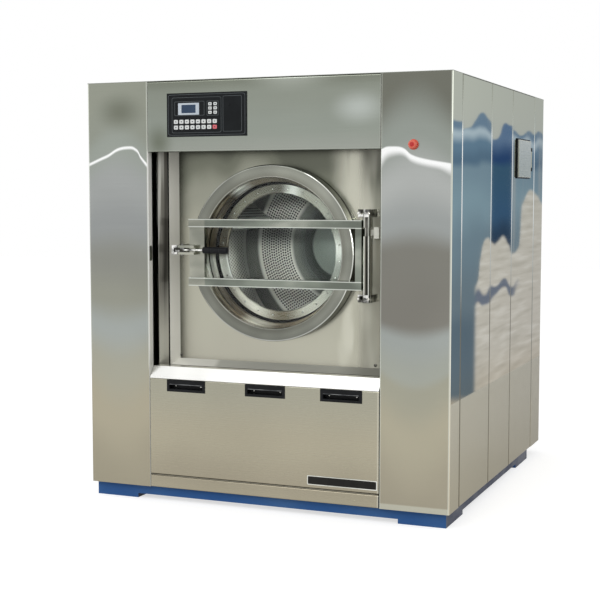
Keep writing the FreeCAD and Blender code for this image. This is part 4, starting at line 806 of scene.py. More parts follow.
def hall_tone(tree):
    """The hall: a pale wall above a wavy edge, blue forms, pale ripples below a second edge, and beige under
    a line that falls towards the rear, all divided by the tint that the steel gives to what it mirrors."""
    spot = hall_place(tree)
    along, height = spot["Y"], spot["Z"]
    sway = swinging(tree, speckle(tree, *SWAY_NOISE), 0.0, *EDGE_SWAY)
    swaying = calc(tree, "ADD", height, sway)
    under = calc(tree, "SUBTRACT", swaying, profile(tree, along, LOWER_EDGE))
    under = product(tree, falling(tree, under, *LOWER_BLUR), rising(tree, along, *RIPPLE_START))
    colour = mixed(tree, under, blue_forms(tree, along, swaying), pale_ripples(tree, along, height, sway))
    over = calc(tree, "SUBTRACT", swaying, profile(tree, along, UPPER_EDGE))
    colour = mixed(tree, rising(tree, over, *UPPER_BLUR), colour, ramp(tree, height, WALL_TONES))
    fallen = calc(tree, "MULTIPLY_ADD", along, BEIGE_FALL, swaying)
    colour = mixed(tree, falling(tree, fallen, *BEIGE_EDGE), colour, ramp(tree, height, BEIGE_TONES))
    parts = {0: colour, 1: tone(*STEEL_TINT)[:3]}
    return wire(tree, "ShaderNodeVectorMath", parts, operation="DIVIDE").outputs[0]


hall_light, tree = bare_finish("hall_board")
glow = wire(tree, "ShaderNodeEmission", {"Color": hall_tone(tree), "Strength": 1.0})
unseen = wire(tree, "ShaderNodeBsdfTransparent")
along = place_of(tree)["Y"]
faded = product(tree, rising(tree, along, *BOARD_FADE[0]), falling(tree, along, *BOARD_FADE[1]))
mirrored = product(tree, wire(tree, "ShaderNodeLightPath").outputs["Is Glossy Ray"], faded)
wire(tree, "ShaderNodeOutputMaterial", {"Surface": fading(tree, mirrored, unseen, glow)})
(near, low), (far, high) = BOARD_SPAN
board_corners = [(BOARD_ACROSS, *corner) for corner in ((near, low), (near, high), (far, high), (far, low))]
hall = flat_board("hall_board", board_corners, hall_light)

# The control panel: a black printed membrane on a steel box, with white keys raised under the film,
# a pale window for the display, and thin grey border lines.
MEMBRANE = ((22, 25, 27), (28, 31, 33))
KEY_WHITE = ((232, 234, 232), (220, 224, 224))
KEY_RED = ((226, 116, 124), (216, 106, 114))
KEY_INK = ((70, 78, 80), (60, 66, 70))
LINE_INK = ((104, 110, 112), (92, 98, 100))
WINDOW_FILM = ((204, 212, 220), (194, 204, 214))
SCREEN_FILM = ((58, 74, 96), (66, 82, 104))
KEY_RISE = 0.0012
ROW_KEY = (0.0225, 0.0195)
ROW_KEYS = 8
ROW_PITCH = 0.0302
ROW_START = 0.050
ROW_DOWN = (0.139, 0.1665)
SIDE_KEY = (0.0185, 0.0150)
SIDE_RIGHT = (0.236, 0.264)
SIDE_DOWN = (0.0557, 0.0760, 0.0966)
MARK_SIZE = (0.0065, 0.0046)
LINE_WIDTH = 0.0016
LINE_RISE = 0.0004
LINE_POWER = 30.0
LINE_STEPS = 40
LINE_FRAMES = (
    (0.2155, 0.106, 0.415, 0.197),
    (0.162, 0.1075, 0.268, 0.172),
    (0.355, 0.1045, 0.100, 0.171),
    (0.124, 0.0755, 0.162, 0.069),
    (0.250, 0.0765, 0.062, 0.070),
)
SCREEN_INSET = (0.0185, 0.0085)
SCREEN_TOP = 0.98
PLASTIC_DRIFT = 12.0
PLASTIC_SHEEN = 40.0
PLASTIC_SWING = (0.05, 0.05)
PLASTIC_RELIEF = (0.0002, 0.2)
PLASTIC_SHINE = 0.15
panel_low, panel_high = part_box("control_panel")


def plastic(name, colour, second, roughness, grain=300.0, shine=PLASTIC_SHINE):
    """Moulded or printed plastic: a faint second tone, slight relief and even gloss."""
    material, tree, shader = finish_of(name)
    drift = between(tree, speckle(tree, PLASTIC_DRIFT), 0.0, 1.0)
    feed(tree, shader, Base_Color=mixed(tree, drift, tone(*colour), tone(*second)))
    feed(tree, shader, Roughness=swinging(tree, speckle(tree, PLASTIC_SHEEN), roughness, *PLASTIC_SWING))
    relief = bump(tree, speckle(tree, grain, 1.0), *PLASTIC_RELIEF)
    feed(tree, shader, Normal=relief, Specular_IOR_Level=shine)
    return material


def border(width, height, line, rise):
    """A thin raised frame: a square section carried round the soft-cornered outline."""
    outer = rounded_outline(width, height, LINE_STEPS, LINE_POWER)
    inner = rounded_outline(width - 2 * line, height - 2 * line, LINE_STEPS, LINE_POWER)
    stages = ((outer, 0.0), (outer, rise), (inner, rise), (inner, 0.0))
    rings = np.array([level_ring(*outline, lift) for outline, lift in stages])
    return rings.reshape(-1, 3), ring_faces(len(stages), LINE_STEPS, loop=True)


def on_panel(places, rise=0.0):
    """Points of the membrane, each a way right and a way down from its top left corner."""
    points = [(panel_low[0] + right, panel_low[1] - rise, panel_high[2] - down) for right, down in places]
    return at_front(points)


dress(plastic("printed_membrane", *MEMBRANE, roughness=0.32), "control_panel")
key_film = plastic("white_key_film", *KEY_WHITE, roughness=0.40)
red_film = plastic("red_key_film", *KEY_RED, roughness=0.40)
row_places = [(ROW_START + ROW_PITCH * i, down) for down in ROW_DOWN for i in range(ROW_KEYS)]
side_places = [(right, down) for down in SIDE_DOWN for right in SIDE_RIGHT]
KEYS = (
    ("row_keys", ROW_KEY, row_places[:-1], key_film, "display_bezel"),
    ("stop_key", ROW_KEY, row_places[-1:], red_film, "red_plastic"),
    ("side_keys", SIDE_KEY, side_places, key_film, "display_bezel"),
)
for name, size, places, film, slot in KEYS:
    add_piece(name, tablet(*size, KEY_RISE), on_panel(places), film, "cabinet")
mark_places = on_panel(row_places + side_places, KEY_RISE)
key_ink = plastic("key_ink", *KEY_INK, roughness=0.5)
add_piece("key_marks", tablet(*MARK_SIZE, LINE_RISE), mark_places, key_ink, "cabinet")
line_ink = plastic("grey_line_ink", *LINE_INK, roughness=0.45)
for index, (right, down, width, height) in enumerate(LINE_FRAMES):
    line_frame = border(width, height, LINE_WIDTH, LINE_RISE)
    line_place = on_panel([(right, down)])
    add_piece(f"panel_line_{index + 1}", line_frame, line_place, line_ink, "cabinet")
dress(plastic("window_film", *WINDOW_FILM, roughness=0.25), "display_window")
window_low, window_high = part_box("display_window")
screen_size = [window_high[i] - window_low[i] - 2 * inset for i, inset in zip((0, 2), SCREEN_INSET)]
screen_middle = ((window_low[0] + window_high[0]) / 2, window_low[1], (window_low[2] + window_high[2]) / 2)
screen_film = plastic("display_film", *SCREEN_FILM, roughness=0.15)
screen = tablet(*screen_size, LINE_RISE, SCREEN_TOP, LINE_POWER)
add_piece("display_screen", screen, at_front(screen_middle), screen_film, "cabinet")

# The emergency stop: a red mushroom in a collar, the rim of its head painted paler than its crown as a
# painted
# highlight. The pulls: black moulded cups with a bail bar held by two small screws. A bare dark plate with a
# pale rim lies flat near the low panel's right corner.
STOP_RED = ((212, 52, 44), (196, 42, 38))
STOP_RIM_HIGHLIGHT = (238, 112, 92)
STOP_CROWN = (196, 34, 34)
CROWN_REACH = 0.0185
CROWN_FADE = (0.1, 0.6)
COLLAR_RED = ((232, 104, 84), (224, 92, 74))
BLACK_MOULDING = ((24, 25, 27), (32, 33, 35))
PULL_CENTRES = (-0.405, 0.024, 0.418)
PULL_WALL = 0.003
SCREW_STEEL = ((240, 240, 234), (190, 190, 182))
SCREW_SPREAD = 0.070
SCREW_HEIGHT = 0.587
SCREW_RADIUS = 0.0042
SCREW_LIFT = 0.0015
BAIL_STEEL = ((148, 150, 150), (84, 86, 88))
BAIL_SIZE = (0.180, 0.0024)
BAIL_HEIGHT = 0.5990
BAIL_RISE = 0.0008
PLATE_DARK = ((36, 35, 33), (44, 43, 40))
PLATE_MIDDLE = (0.423, 0.1765)
PLATE_SIZE = (0.356, 0.047)
PLATE_RISE = 0.0010
PLATE_TOP = 0.995
RIM_STEEL = ((222, 222, 214), (196, 196, 186))
RIM_INSET = 0.001
RIM_WIDTH = 0.0042
RIM_RISE = 0.0006
DOME_STEPS = 12
DOME_TURNS = (0.0, 0.45, 0.9, 1.3)


def circle(radius, steps):
    """Points round a circle: the radius times the cosine and the sine of even angles."""
    return np.cos(turns(steps)) * radius, np.sin(turns(steps)) * radius


def dome(radius, lift):
    """A low round head: rings whose radius goes as the cosine and height as the sine of a quarter turn."""
    rings = [level_ring(*circle(radius * math.cos(r), DOME_STEPS), lift * math.sin(r)) for r in DOME_TURNS]
    return capped(np.array(rings))


stop_red = plastic("stop_red", *STOP_RED, roughness=0.28, shine=0.5)
tree = stop_red.node_tree
stop_middle = [(low + high) / 2 for low, high in zip(*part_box("estop_button"))]
# A painted highlight: the head is paler at its rim than at its crown.
crown = soft_spot(tree, stop_middle, (CROWN_REACH, THROUGH, CROWN_REACH))
crown = rising(tree, crown, *CROWN_FADE)
stop_tone = mixed(tree, crown, tone(*STOP_RIM_HIGHLIGHT), tone(*STOP_CROWN))
feed(tree, tree.nodes["Principled BSDF"], Base_Color=stop_tone)
dress(stop_red, "estop_button")
dress(plastic("collar_red", *COLLAR_RED, roughness=0.35, shine=0.4), "estop_collar")
dress(plastic("black_moulding", *BLACK_MOULDING, roughness=0.42, grain=900.0), "panel_pulls", "latch_grip")
pull_low, pull_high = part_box("panel_pulls")
cup_back = pull_high[1] - PULL_WALL
screws_across = [middle + side * SCREW_SPREAD for middle in PULL_CENTRES for side in (-1, 1)]
screw_places = at_front([(across, cup_back, SCREW_HEIGHT) for across in screws_across])
screw_steel = bright_steel("screw_steel", *SCREW_STEEL, roughness=0.3, cloud=60.0)
screw_head = dome(SCREW_RADIUS, SCREW_LIFT)
add_piece("pull_screws", screw_head, screw_places, screw_steel, "cabinet", True)
bail_places = at_front([(middle, pull_low[1], BAIL_HEIGHT) for middle in PULL_CENTRES])
bail_steel = bright_steel("bail_steel", *BAIL_STEEL, roughness=0.4, cloud=20.0)
bail = tablet(*BAIL_SIZE, BAIL_RISE)
add_piece("pull_bails", bail, bail_places, bail_steel, "cabinet")
plate_place = at_front((PLATE_MIDDLE[0], front_plane, PLATE_MIDDLE[1]))
plate = tablet(*PLATE_SIZE, PLATE_RISE, PLATE_TOP)
dark_plate = plastic("dark_plate", *PLATE_DARK, roughness=0.35)
add_piece("bare_plate", plate, plate_place, dark_plate, "cabinet")
rim_place = at_front((PLATE_MIDDLE[0], front_plane - PLATE_RISE, PLATE_MIDDLE[1]))
rim_steel = bright_steel("rim_steel", *RIM_STEEL, roughness=0.3, cloud=9.0)
plate_rim = border(PLATE_SIZE[0] - RIM_INSET, PLATE_SIZE[1] - RIM_INSET, RIM_WIDTH, RIM_RISE)
add_piece("plate_rim", plate_rim, rim_place, rim_steel, "cabinet")

# The soap hatch: a pressed satin lid hinged on a black painted frame, with a hopper of plain stainless
# behind it. The lid is painted paler towards its top as painted light.
HATCH_BLACK = ((22, 23, 25), (32, 33, 35))
LID_LIGHT_TONES = ((1.62, (168, 172, 160)), (1.85, (184, 188, 178)))
LID_METAL = 0.1

dress(enamel("black_frame_paint", *HATCH_BLACK, gloss=0.45), "hatch_frame")
lid_sheet, tree, shader = finish_of("lid_sheet")
ground(tree, shader, ramp(tree, height_of(tree), LID_LIGHT_TONES), roughness=0.28, metal=LID_METAL)
dress(lid_sheet, "hatch_lid")

# The tub front: a satin plate with splayed flanges, held by a screw in each low corner, mirrored trims beside
# it, and the tub shell with its polished neck behind. The plate is painted darker towards the top as painted
# shade under the fascia, with pale painted reflections on its right part, painted light on its flanges, a
# painted shadow under the low flange's lip and painted reflections round its collar. The trims carry streaks
# of painted reflection, painted light low down and on the right trim and painted shade towards the rear edge;
# the neck carries painted brown and bright reflections.
TUB_SHADED_TONES = (
    (0.68, (170, 168, 154)), (1.00, (172, 171, 156)), (1.45, (164, 163, 148)), (1.60, (146, 147, 134)),
    (1.72, (114, 116, 104)), (1.80, (98, 100, 90)),
)
TUB_NOISE = (1.8, 2.0, (1.3, 1.0, 0.3))
TUB_SWAY = (0.12, 0.12)
TUB_LINES = (3.0, 420.0, 3.0)
TUB_DULL = 0.15
PALE_REFLECTION_TONE = (200, 199, 184)
PALE_REFLECTION_NOISE = (3.2, 2.0, (2.4, 1.0, 0.55))
PALE_REFLECTION_CUT = (0.44, 0.60)
PALE_REFLECTION_START = (0.26, 0.40)
PALE_REFLECTION_SHARE = 0.75
SPLAYED = (0.2, 0.4)
LEFT_FLANGE_LIGHT = (252, 250, 238)
LOW_FLANGE_LIGHT = (
    (-0.56, (248, 247, 238)), (-0.34, (228, 227, 218)), (-0.30, (184, 184, 175)), (0.30, (174, 174, 165)),
    (0.5, (140, 140, 132)),
)
FLANGE_LIP = (-0.7290, -0.7270)
FLANGE_SHADOW = (64, 64, 58)
COLLAR_RIM = (0.366, 0.372)
RIGHT_DULL = (0.40, 0.48)
TRIM_REFLECTION_TONES = ((0.28, (44, 43, 40)), (0.42, (96, 94, 87)), (0.56, (122, 120, 111)), (0.72, (200, 199, 190)))
TRIM_NOISE = (1.0, 2.0, (46.0, 30.0, 0.9))
TRIM_LOW_LIGHT = (192, 190, 176)
TRIM_LOW_FADE = (0.80, 1.15)
TRIM_LOW_SHARE = 0.85
TRIM_RIGHT_LIGHT = (170, 169, 155)
TRIM_RIGHT_START = (-0.1, 0.1)
TRIM_RIGHT_SHARE = 0.8
TRIM_GAP_SHADE = (26, 26, 24)
TRIM_GAP_START = (-0.7375, -0.7355)
NECK_REFLECTION_TONES = (
    (-180, (112, 103, 88)), (-173, (240, 239, 230)), (-160, (228, 226, 214)), (-148, (150, 140, 122)),
    (-122, (104, 92, 75)), (-108, (204, 199, 184)), (-84, (104, 94, 78)), (-40, (146, 138, 121)),
    (80, (88, 83, 72)), (108, (118, 110, 95)), (122, (226, 225, 215)), (132, (104, 92, 75)),
    (154, (142, 131, 112)), (180, (112, 103, 88)),
)
NECK_NOISE = (5.0, 2.0, (1.0, 3.0, 1.0))
NECK_SHADE = (0.72, 1.25)
NO_LINES = (3.0, 3.0, 3.0)
CORNER_SCREWS = ((-0.534, 0.722), (0.519, 0.719))
CORNER_STEEL = ((120, 120, 114), (58, 58, 54))
CORNER_RADIUS = 0.008
CORNER_LIFT = 0.004
TUB_SETBACK = 0.051
drum_low, drum_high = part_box("inner_drum")
drum_axis = (drum_low[2] + drum_high[2]) / 2


def from_axis(tree):
    """The distance from the drum's axis: the root of X squared plus the height above the axis squared."""
    spot = place_of(tree)
    rise = calc(tree, "SUBTRACT", spot["Z"], drum_axis)
    square = calc(tree, "MULTIPLY_ADD", spot["X"], spot["X"], product(tree, rise, rise))
    return calc(tree, "SQRT", square)


def round_axis(tree):
    """The turn about the drum's axis in degrees, 0 at the right and 90 at the top."""
    spot = place_of(tree)
    turn = calc(tree, "ARCTAN2", calc(tree, "SUBTRACT", spot["Z"], drum_axis), spot["X"])
    return calc(tree, "DEGREES", turn)


def painted_brown_reflection(tree):
    """Painted reflections in polished steel by the dark inside: brown and bright stretches round the axis,
    broken by noise.
    """
    level = between(tree, speckle(tree, *NECK_NOISE), *NECK_SHADE)
    return scaled(tree, ramp(tree, round_axis(tree), NECK_REFLECTION_TONES), level)


# The tub plate: painted shade towards the top, pale painted reflections on the right, painted light on the
# flanges, a painted shadow under the low flange's lip, painted reflections round the collar.
tub_sheet, tree, shader = finish_of("tub_sheet")
spot, way = place_of(tree), facing_of(tree)
sway = swinging(tree, speckle(tree, *TUB_NOISE), 0.0, *TUB_SWAY)
pale_reflection = rising(tree, speckle(tree, *PALE_REFLECTION_NOISE), *PALE_REFLECTION_CUT)
pale_reflection = product(tree, rising(tree, spot["X"], *PALE_REFLECTION_START, PALE_REFLECTION_SHARE), pale_reflection)
left_flange = rising(tree, way["X"], *SPLAYED)
low_flange = rising(tree, way["Z"], *SPLAYED)
collar = falling(tree, from_axis(tree), *COLLAR_RIM)
colour = ramp(tree, calc(tree, "ADD", spot["Z"], sway), TUB_SHADED_TONES)
colour = layered(tree, colour, (pale_reflection, PALE_REFLECTION_TONE), (left_flange, LEFT_FLANGE_LIGHT))
flange_lip = falling(tree, spot["Y"], *FLANGE_LIP)
flange = layered(tree, ramp(tree, spot["X"], LOW_FLANGE_LIGHT), (flange_lip, FLANGE_SHADOW))
colour = mixed(tree, low_flange, colour, flange)
colour = mixed(tree, collar, colour, painted_brown_reflection(tree))
dull = most_of(tree, low_flange, left_flange, rising(tree, spot["X"], *RIGHT_DULL), collar)
ground(tree, shader, colour, roughness=0.24, lines=TUB_LINES, metal=graded(tree, dull, 1.0, TUB_DULL))
dress(tub_sheet, "tub_front_plate", "outer_tub")

# The trims: streaks of painted reflection, painted light low down and on the right trim, painted shade
# towards the rear edge.
trim_sheet, tree, shader = finish_of("trim_sheet")
spot = place_of(tree)
colour = layered(
    tree, ramp(tree, speckle(tree, *TRIM_NOISE), TRIM_REFLECTION_TONES),
    (falling(tree, spot["Z"], *TRIM_LOW_FADE, TRIM_LOW_SHARE), TRIM_LOW_LIGHT),
    (rising(tree, spot["X"], *TRIM_RIGHT_START, TRIM_RIGHT_SHARE), TRIM_RIGHT_LIGHT),
    (rising(tree, spot["Y"], *TRIM_GAP_START), TRIM_GAP_SHADE),
)
ground(tree, shader, colour, roughness=0.2, metal=0.4)
dress(trim_sheet, "surround_trim")

neck_sheet, tree, shader = finish_of("neck_sheet")
ground(tree, shader, painted_brown_reflection(tree), roughness=0.25, lines=NO_LINES, metal=0.3)
dress(neck_sheet, "tub_neck")

corner_steel = bright_steel("corner_screw_steel", *CORNER_STEEL, roughness=0.3, cloud=60.0)
plate_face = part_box("tub_front_plate")[0][1] + TUB_SETBACK
corner_places = at_front([(across, plate_face, up) for across, up in CORNER_SCREWS])
corner_head = dome(CORNER_RADIUS, CORNER_LIFT)
add_piece("corner_screws", corner_head, corner_places, corner_steel, "tub", True)

# The drum: a shell rolled from perforated stainless with a riveted mouth ring, perforated lifters and a
# pressed back. Its punched holes stand here as shallow dark cups on the sheet. Light and shade are painted
# on: a white painted highlight on the shell's left side, painted shade along its front edge and at the mouth
# ring's rim, painted reflections round the mouth ring, and rings of painted light and shade on the back with
# a painted shadow on its left.
DRUM_WALL = 0.004
DRUM_LINES = (3.0, 300.0, 3.0)
DRUM_NOISE = (2.2, 2.0)
DRUM_TONES = ((0.3, (150, 151, 146)), (0.7, (214, 214, 207)))
NEAR_LEFT_HIGHLIGHT = ((-0.60, 0.02, 1.17), (0.30, 0.20, 0.16))
NEAR_LEFT_HIGHLIGHT_TONE = (252, 252, 248)
FRONT_RING_FADE = (0.001, 0.003)
FRONT_RING_SHADE = (12, 12, 11)
BACK_LIGHT_AND_SHADE_TONES = (
    (0.0, (140, 150, 142)), (0.17, (118, 126, 119)), (0.19, (62, 68, 64)), (0.25, (84, 90, 86)),
    (0.31, (120, 124, 117)), (0.335, (236, 236, 226)), (0.53, (240, 240, 230)), (0.55, (90, 92, 86)),
    (0.62, (70, 72, 68)),
)
BACK_SHADE = ((-0.42, 0.30, 1.335), (0.30, THROUGH, 0.13))
BACK_SHADE_TONE = (34, 38, 36)
BACK_SHADE_SHARE = 0.9
LIFTER_NOISE = (3.0, 2.0)
LIFTER_TONES = ((0.3, (206, 206, 198)), (0.7, (238, 238, 232)))
MOUTH_REFLECTION_TONES = (
    (-180, (116, 108, 93)), (-172, (242, 241, 233)), (-158, (244, 243, 236)), (-146, (188, 184, 170)),
    (-118, (206, 203, 190)), (-88, (106, 98, 82)), (-60, (182, 180, 168)), (-14, (146, 150, 142)),
    (4, (212, 214, 206)), (20, (144, 146, 136)), (66, (150, 150, 138)), (78, (216, 218, 210)),
    (90, (106, 104, 95)), (128, (136, 132, 118)), (180, (116, 108, 93)),
)
MOUTH_NOISE = (4.0, 2.0)
MOUTH_SHADE = (0.88, 1.1)
MOUTH_EDGE = 0.3390
MOUTH_EDGE_FADE = 0.001
MOUTH_GAP_SHADE = (14, 14, 13)

# The shell: a white painted highlight on its left side and black painted shade along its front edge.
drum_sheet, tree, shader = finish_of("drum_sheet")
front_ring = falling(tree, place_of(tree)["Y"], *[drum_low[1] + reach for reach in FRONT_RING_FADE])
colour = layered(
    tree, ramp(tree, speckle(tree, *DRUM_NOISE), DRUM_TONES),
    (soft_spot(tree, *NEAR_LEFT_HIGHLIGHT), NEAR_LEFT_HIGHLIGHT_TONE), (front_ring, FRONT_RING_SHADE),
)
ground(tree, shader, colour, roughness=0.3, lines=DRUM_LINES, metal=graded(tree, front_ring, 0.5, 0.0))
dress(drum_sheet, "inner_drum")

# The back: rings of painted light and shade by radius and a painted shadow on its left.
back_sheet, tree, shader = finish_of("drum_back_sheet")
in_shade = product(tree, soft_spot(tree, *BACK_SHADE), BACK_SHADE_SHARE)
colour = layered(tree, ramp(tree, from_axis(tree), BACK_LIGHT_AND_SHADE_TONES), (in_shade, BACK_SHADE_TONE))
ground(tree, shader, colour, roughness=0.3, lines=DRUM_LINES, metal=0.4)
dress(back_sheet, "drum_back")

lifter_sheet, tree, shader = finish_of("lifter_sheet")
ground(tree, shader, ramp(tree, speckle(tree, *LIFTER_NOISE), LIFTER_TONES), roughness=0.28, metal=0.5)
dress(lifter_sheet, "drum_lifters")

# The mouth ring: painted reflections round the axis and painted shade at its rim.
mouth_sheet, tree, shader = finish_of("mouth_ring_sheet")
patches = between(tree, speckle(tree, *MOUTH_NOISE), *MOUTH_SHADE)
mouth_gap = rising(tree, from_axis(tree), MOUTH_EDGE - MOUTH_EDGE_FADE, MOUTH_EDGE)
colour = scaled(tree, ramp(tree, round_axis(tree), MOUTH_REFLECTION_TONES), patches)
colour = layered(tree, colour, (mouth_gap, MOUTH_GAP_SHADE))
ground(tree, shader, colour, roughness=0.2, lines=NO_LINES, metal=graded(tree, mouth_gap, 0.6, 0.0))
dress(mouth_sheet, "drum_mouth_ring")

HOLE_STEPS = 6
HOLE_LIFT = 0.0006
HOLE_TOP = 0.9
HOLE_DARK = ((16, 17, 17), (26, 27, 27))
WALL_HOLE = 0.0050
WALL_PITCH = 0.0192
WALL_FIRST = 1.5
FACET_SLACK = 0.0008


def hole_cup(radius):
    """A dark cup seen from inside: a round outline and the same drawn in a little above it."""
    foot = level_ring(*circle(radius, HOLE_STEPS), 0.0)
    top = level_ring(*circle(radius * HOLE_TOP, HOLE_STEPS), HOLE_LIFT)
    return capped(np.array([foot, top]))


def spoke(turn):
    """The way out from the drum's axis at each turn: the cosine across and the sine up."""
    return np.stack([np.cos(turn), np.zeros_like(turn), np.sin(turn)], axis=-1)


def on_axis(along):
    """Points of the drum's axis."""
    return np.stack([np.zeros_like(along), along, np.full_like(along, drum_axis)], axis=-1)


def rearward(count):
    """The way to the rear, once for each of a number of places."""
    return np.tile((0.0, 1.0, 0.0), (count, 1))


hole_dark = enamel("hole_shadow", *HOLE_DARK, gloss=0.6)
wall_radius = (drum_high[2] - drum_low[2]) / 2 - DRUM_WALL
rows = int((drum_high[1] - drum_low[1] - 2 * WALL_PITCH) / WALL_PITCH)
columns = int(2 * math.pi * wall_radius / WALL_PITCH)
row, column = (grid.ravel() for grid in np.meshgrid(np.arange(rows), np.arange(columns), indexing="ij"))
outward = spoke((column + 0.5 * (row % 2)) * 2 * math.pi / columns)
centres = outward * (wall_radius - FACET_SLACK) + on_axis(drum_low[1] + WALL_PITCH * (row + WALL_FIRST))
to_rear = rearward(len(centres))
wall_places = (centres, to_rear, np.cross(-outward, to_rear), -outward)
add_piece("wall_perforation", hole_cup(WALL_HOLE), wall_places, hole_dark, "drum")

BACK_HOLE = 0.0058
BACK_PITCH = 0.0155
BACK_ROW_SHARE = 0.92
BACK_SPAN = (0.342, 0.525)
back_rings = np.arange(*BACK_SPAN, BACK_PITCH * BACK_ROW_SHARE)
back_counts = [int(2 * math.pi * size / BACK_PITCH) for size in back_rings]
turn = np.concatenate([turns(count, 0.5 * (i % 2)) for i, count in enumerate(back_counts)])
radius = np.repeat(back_rings, back_counts)
back_places = at_front(spoke(turn) * radius[:, None] + on_axis(np.full_like(turn, drum_high[1])))
add_piece("back_perforation", hole_cup(BACK_HOLE), back_places, hole_dark, "drum")

LIFTER_TURNS = np.radians((45.0, 165.0, 285.0))
LIFTER_CREST = 0.060
LIFTER_ROOT = 0.160
LIFTER_HEIGHT = 0.120
LIFTER_CREST_RADIUS = 0.4937
LIFTER_HOLE = 0.0066
LIFTER_PITCH = 0.0235
LIFTER_FIRST = 0.014
LIFTER_SPARE = 0.018
LIFTER_END = 0.02
slope = np.array((LIFTER_HEIGHT, (LIFTER_ROOT - LIFTER_CREST) / 2))
slope_length = np.linalg.norm(slope)
down, aside = slope / slope_length
steps_down = LIFTER_FIRST + LIFTER_PITCH * np.arange(int((slope_length - LIFTER_SPARE) / LIFTER_PITCH))
crest_rows = [(LIFTER_CREST_RADIUS, sign * LIFTER_PITCH / 2, -1.0, 0.0) for sign in (1, -1)]
side_rows = [
    (LIFTER_CREST_RADIUS + down * step, sign * (LIFTER_CREST / 2 + aside * step), -aside, sign * down)
    for sign in (1, -1) for step in steps_down
]
sections = np.array(crest_rows + side_rows)
stations = np.arange(drum_low[1] + LIFTER_END, drum_high[1] - LIFTER_END, LIFTER_PITCH)
grids = np.meshgrid(LIFTER_TURNS, np.arange(len(sections)), stations, indexing="ij")
turn, line, along = (grid.ravel() for grid in grids)
depth, sideways, tilt_in, tilt_side = sections[line].T[:, :, None]
radial, tangent = spoke(turn), spoke(turn + math.pi / 2)
centres = radial * depth + tangent * sideways + on_axis(along + LIFTER_PITCH / 2 * (line % 2))
outward = radial * tilt_in + tangent * tilt_side
right = radial * tilt_side - tangent * tilt_in
lifter_places = (centres, right, rearward(len(centres)), outward)
add_piece("lifter_perforation", hole_cup(LIFTER_HOLE), lifter_places, hole_dark, "drum")

RIVET_COUNT = 24
RIVET_CIRCLE = 0.318
RIVET_RADIUS = 0.0052
RIVET_LIFT = 0.0022
RIVET_STEEL = ((236, 236, 230), (168, 166, 158))
mouth_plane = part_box("drum_mouth_ring")[0][1]
turn = turns(RIVET_COUNT, 0.5)
rivet_places = at_front(spoke(turn) * RIVET_CIRCLE + on_axis(np.full_like(turn, mouth_plane)))
rivet_steel = bright_steel("rivet_steel", *RIVET_STEEL, roughness=0.16, cloud=40.0)
rivet = dome(RIVET_RADIUS, RIVET_LIFT)
add_piece("mouth_rivets", rivet, rivet_places, rivet_steel, "drum", True)

# What drives and feeds the drum, behind the tub: castings in grey paint, ground shaft and bearings, a black
# rubber belt, seal and boot, a blue-grey motor and brass water inlets.
CASTING_GREY = ((78, 82, 84), (92, 94, 94))
GROUND_STEEL = ((186, 188, 190), (150, 152, 154))
MOTOR_BLUE = ((62, 82, 108), (74, 92, 116))
RUBBER_BLACK = ((26, 26, 27), (36, 36, 36))
INLET_BRASS = ((200, 166, 98), (168, 134, 74))

casting_paint = enamel("casting_paint", *CASTING_GREY, gloss=0.5)
dress(casting_paint, "bearing_housing", "drum_spider", "drum_pulley", "motor_pulley")
dress(bright_steel("ground_steel", *GROUND_STEEL, roughness=0.2, cloud=14.0), "main_shaft", "main_bearings")
dress(enamel("motor_paint", *MOTOR_BLUE, gloss=0.4), "motor")
rubber = plastic("black_rubber", *RUBBER_BLACK, roughness=0.62, grain=500.0)
dress(rubber, "drive_belt", "air_springs", "shaft_seal", "drain_boot", "door_gasket")
dress(bright_steel("inlet_brass", *INLET_BRASS, roughness=0.3, cloud=18.0), "water_inlets")

# The air springs: four moulded rubber bellows of two lobes, bolted to the base's pedestals below and to the
# cradle's beams above.
SPRING_RADIUS = 0.110
SPRING_WAIST = 0.088
SPRING_LOBES = 2
SPRING_ROWS = 12
SPRING_STEPS = 40
spring_low, spring_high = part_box("air_springs")


def bellows(radius, waist, height, lobes):
    """A lobed sleeve: the radius grows from the waist with the root of the sine of the height, half a wave
    to a lobe."""
    angle = turns(SPRING_STEPS)[None, :]
    rise = np.linspace(0.0, 1.0, SPRING_ROWS * lobes + 1)[:, None]
    reach = waist + (radius - waist) * np.sqrt(np.abs(np.sin(math.pi * lobes * rise)))
    rings = np.broadcast_arrays(reach * np.cos(angle), reach * np.sin(angle), height * rise)
    return capped(np.stack(rings, axis=-1))


spring_across = spring_high[0] - SPRING_RADIUS
spring_along = (spring_low[1] + SPRING_RADIUS, spring_high[1] - SPRING_RADIUS)
centres = [(side * spring_across, along, spring_low[2]) for side in (-1, 1) for along in spring_along]
sleeve = bellows(SPRING_RADIUS, SPRING_WAIST, spring_high[2] - spring_low[2], SPRING_LOBES)
spring_places = facing(centres, (1, 0, 0), (0, 1, 0))
springs = add_piece("air_spring_bellows", sleeve, spring_places, rubber, None, True)
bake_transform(springs)
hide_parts("air_springs")

# The door: a pressed ring, darker on its broad face, with painted highlights along both edges, painted shade
# towards its bottom and painted brown and bright reflections in its bore; a thick clear glass; and a welded
# frame of satin bars with painted highlights on their upper faces and edges and painted reflection stripes on
# the sleeve.
RING_HIGHLIGHT_TONES = (
    (0.360, (120, 118, 108)), (0.370, (130, 129, 119)), (0.373, (212, 212, 203)), (0.377, (134, 135, 125)),
    (0.405, (146, 148, 138)), (0.426, (138, 140, 131)), (0.430, (214, 216, 208)), (0.435, (150, 152, 146)),
)
RING_BORE = (0.3700, 0.3722)
RING_NOISE = (2.1, 2.0, (1.4, 1.0, 1.4))
RING_CLOUDS = (0.70, 1.25)
RING_SHADE = (0.72, 1.0)
RING_SHADE_SPAN = (0.85, 1.35)
GLASS_TINTS = ((0.88, 0.93, 0.91, 1.0), (0.94, 0.97, 0.96, 1.0))
GLASS_CLOUDS = 2.0
GLASS_NOISE = (7.0, 4.0)
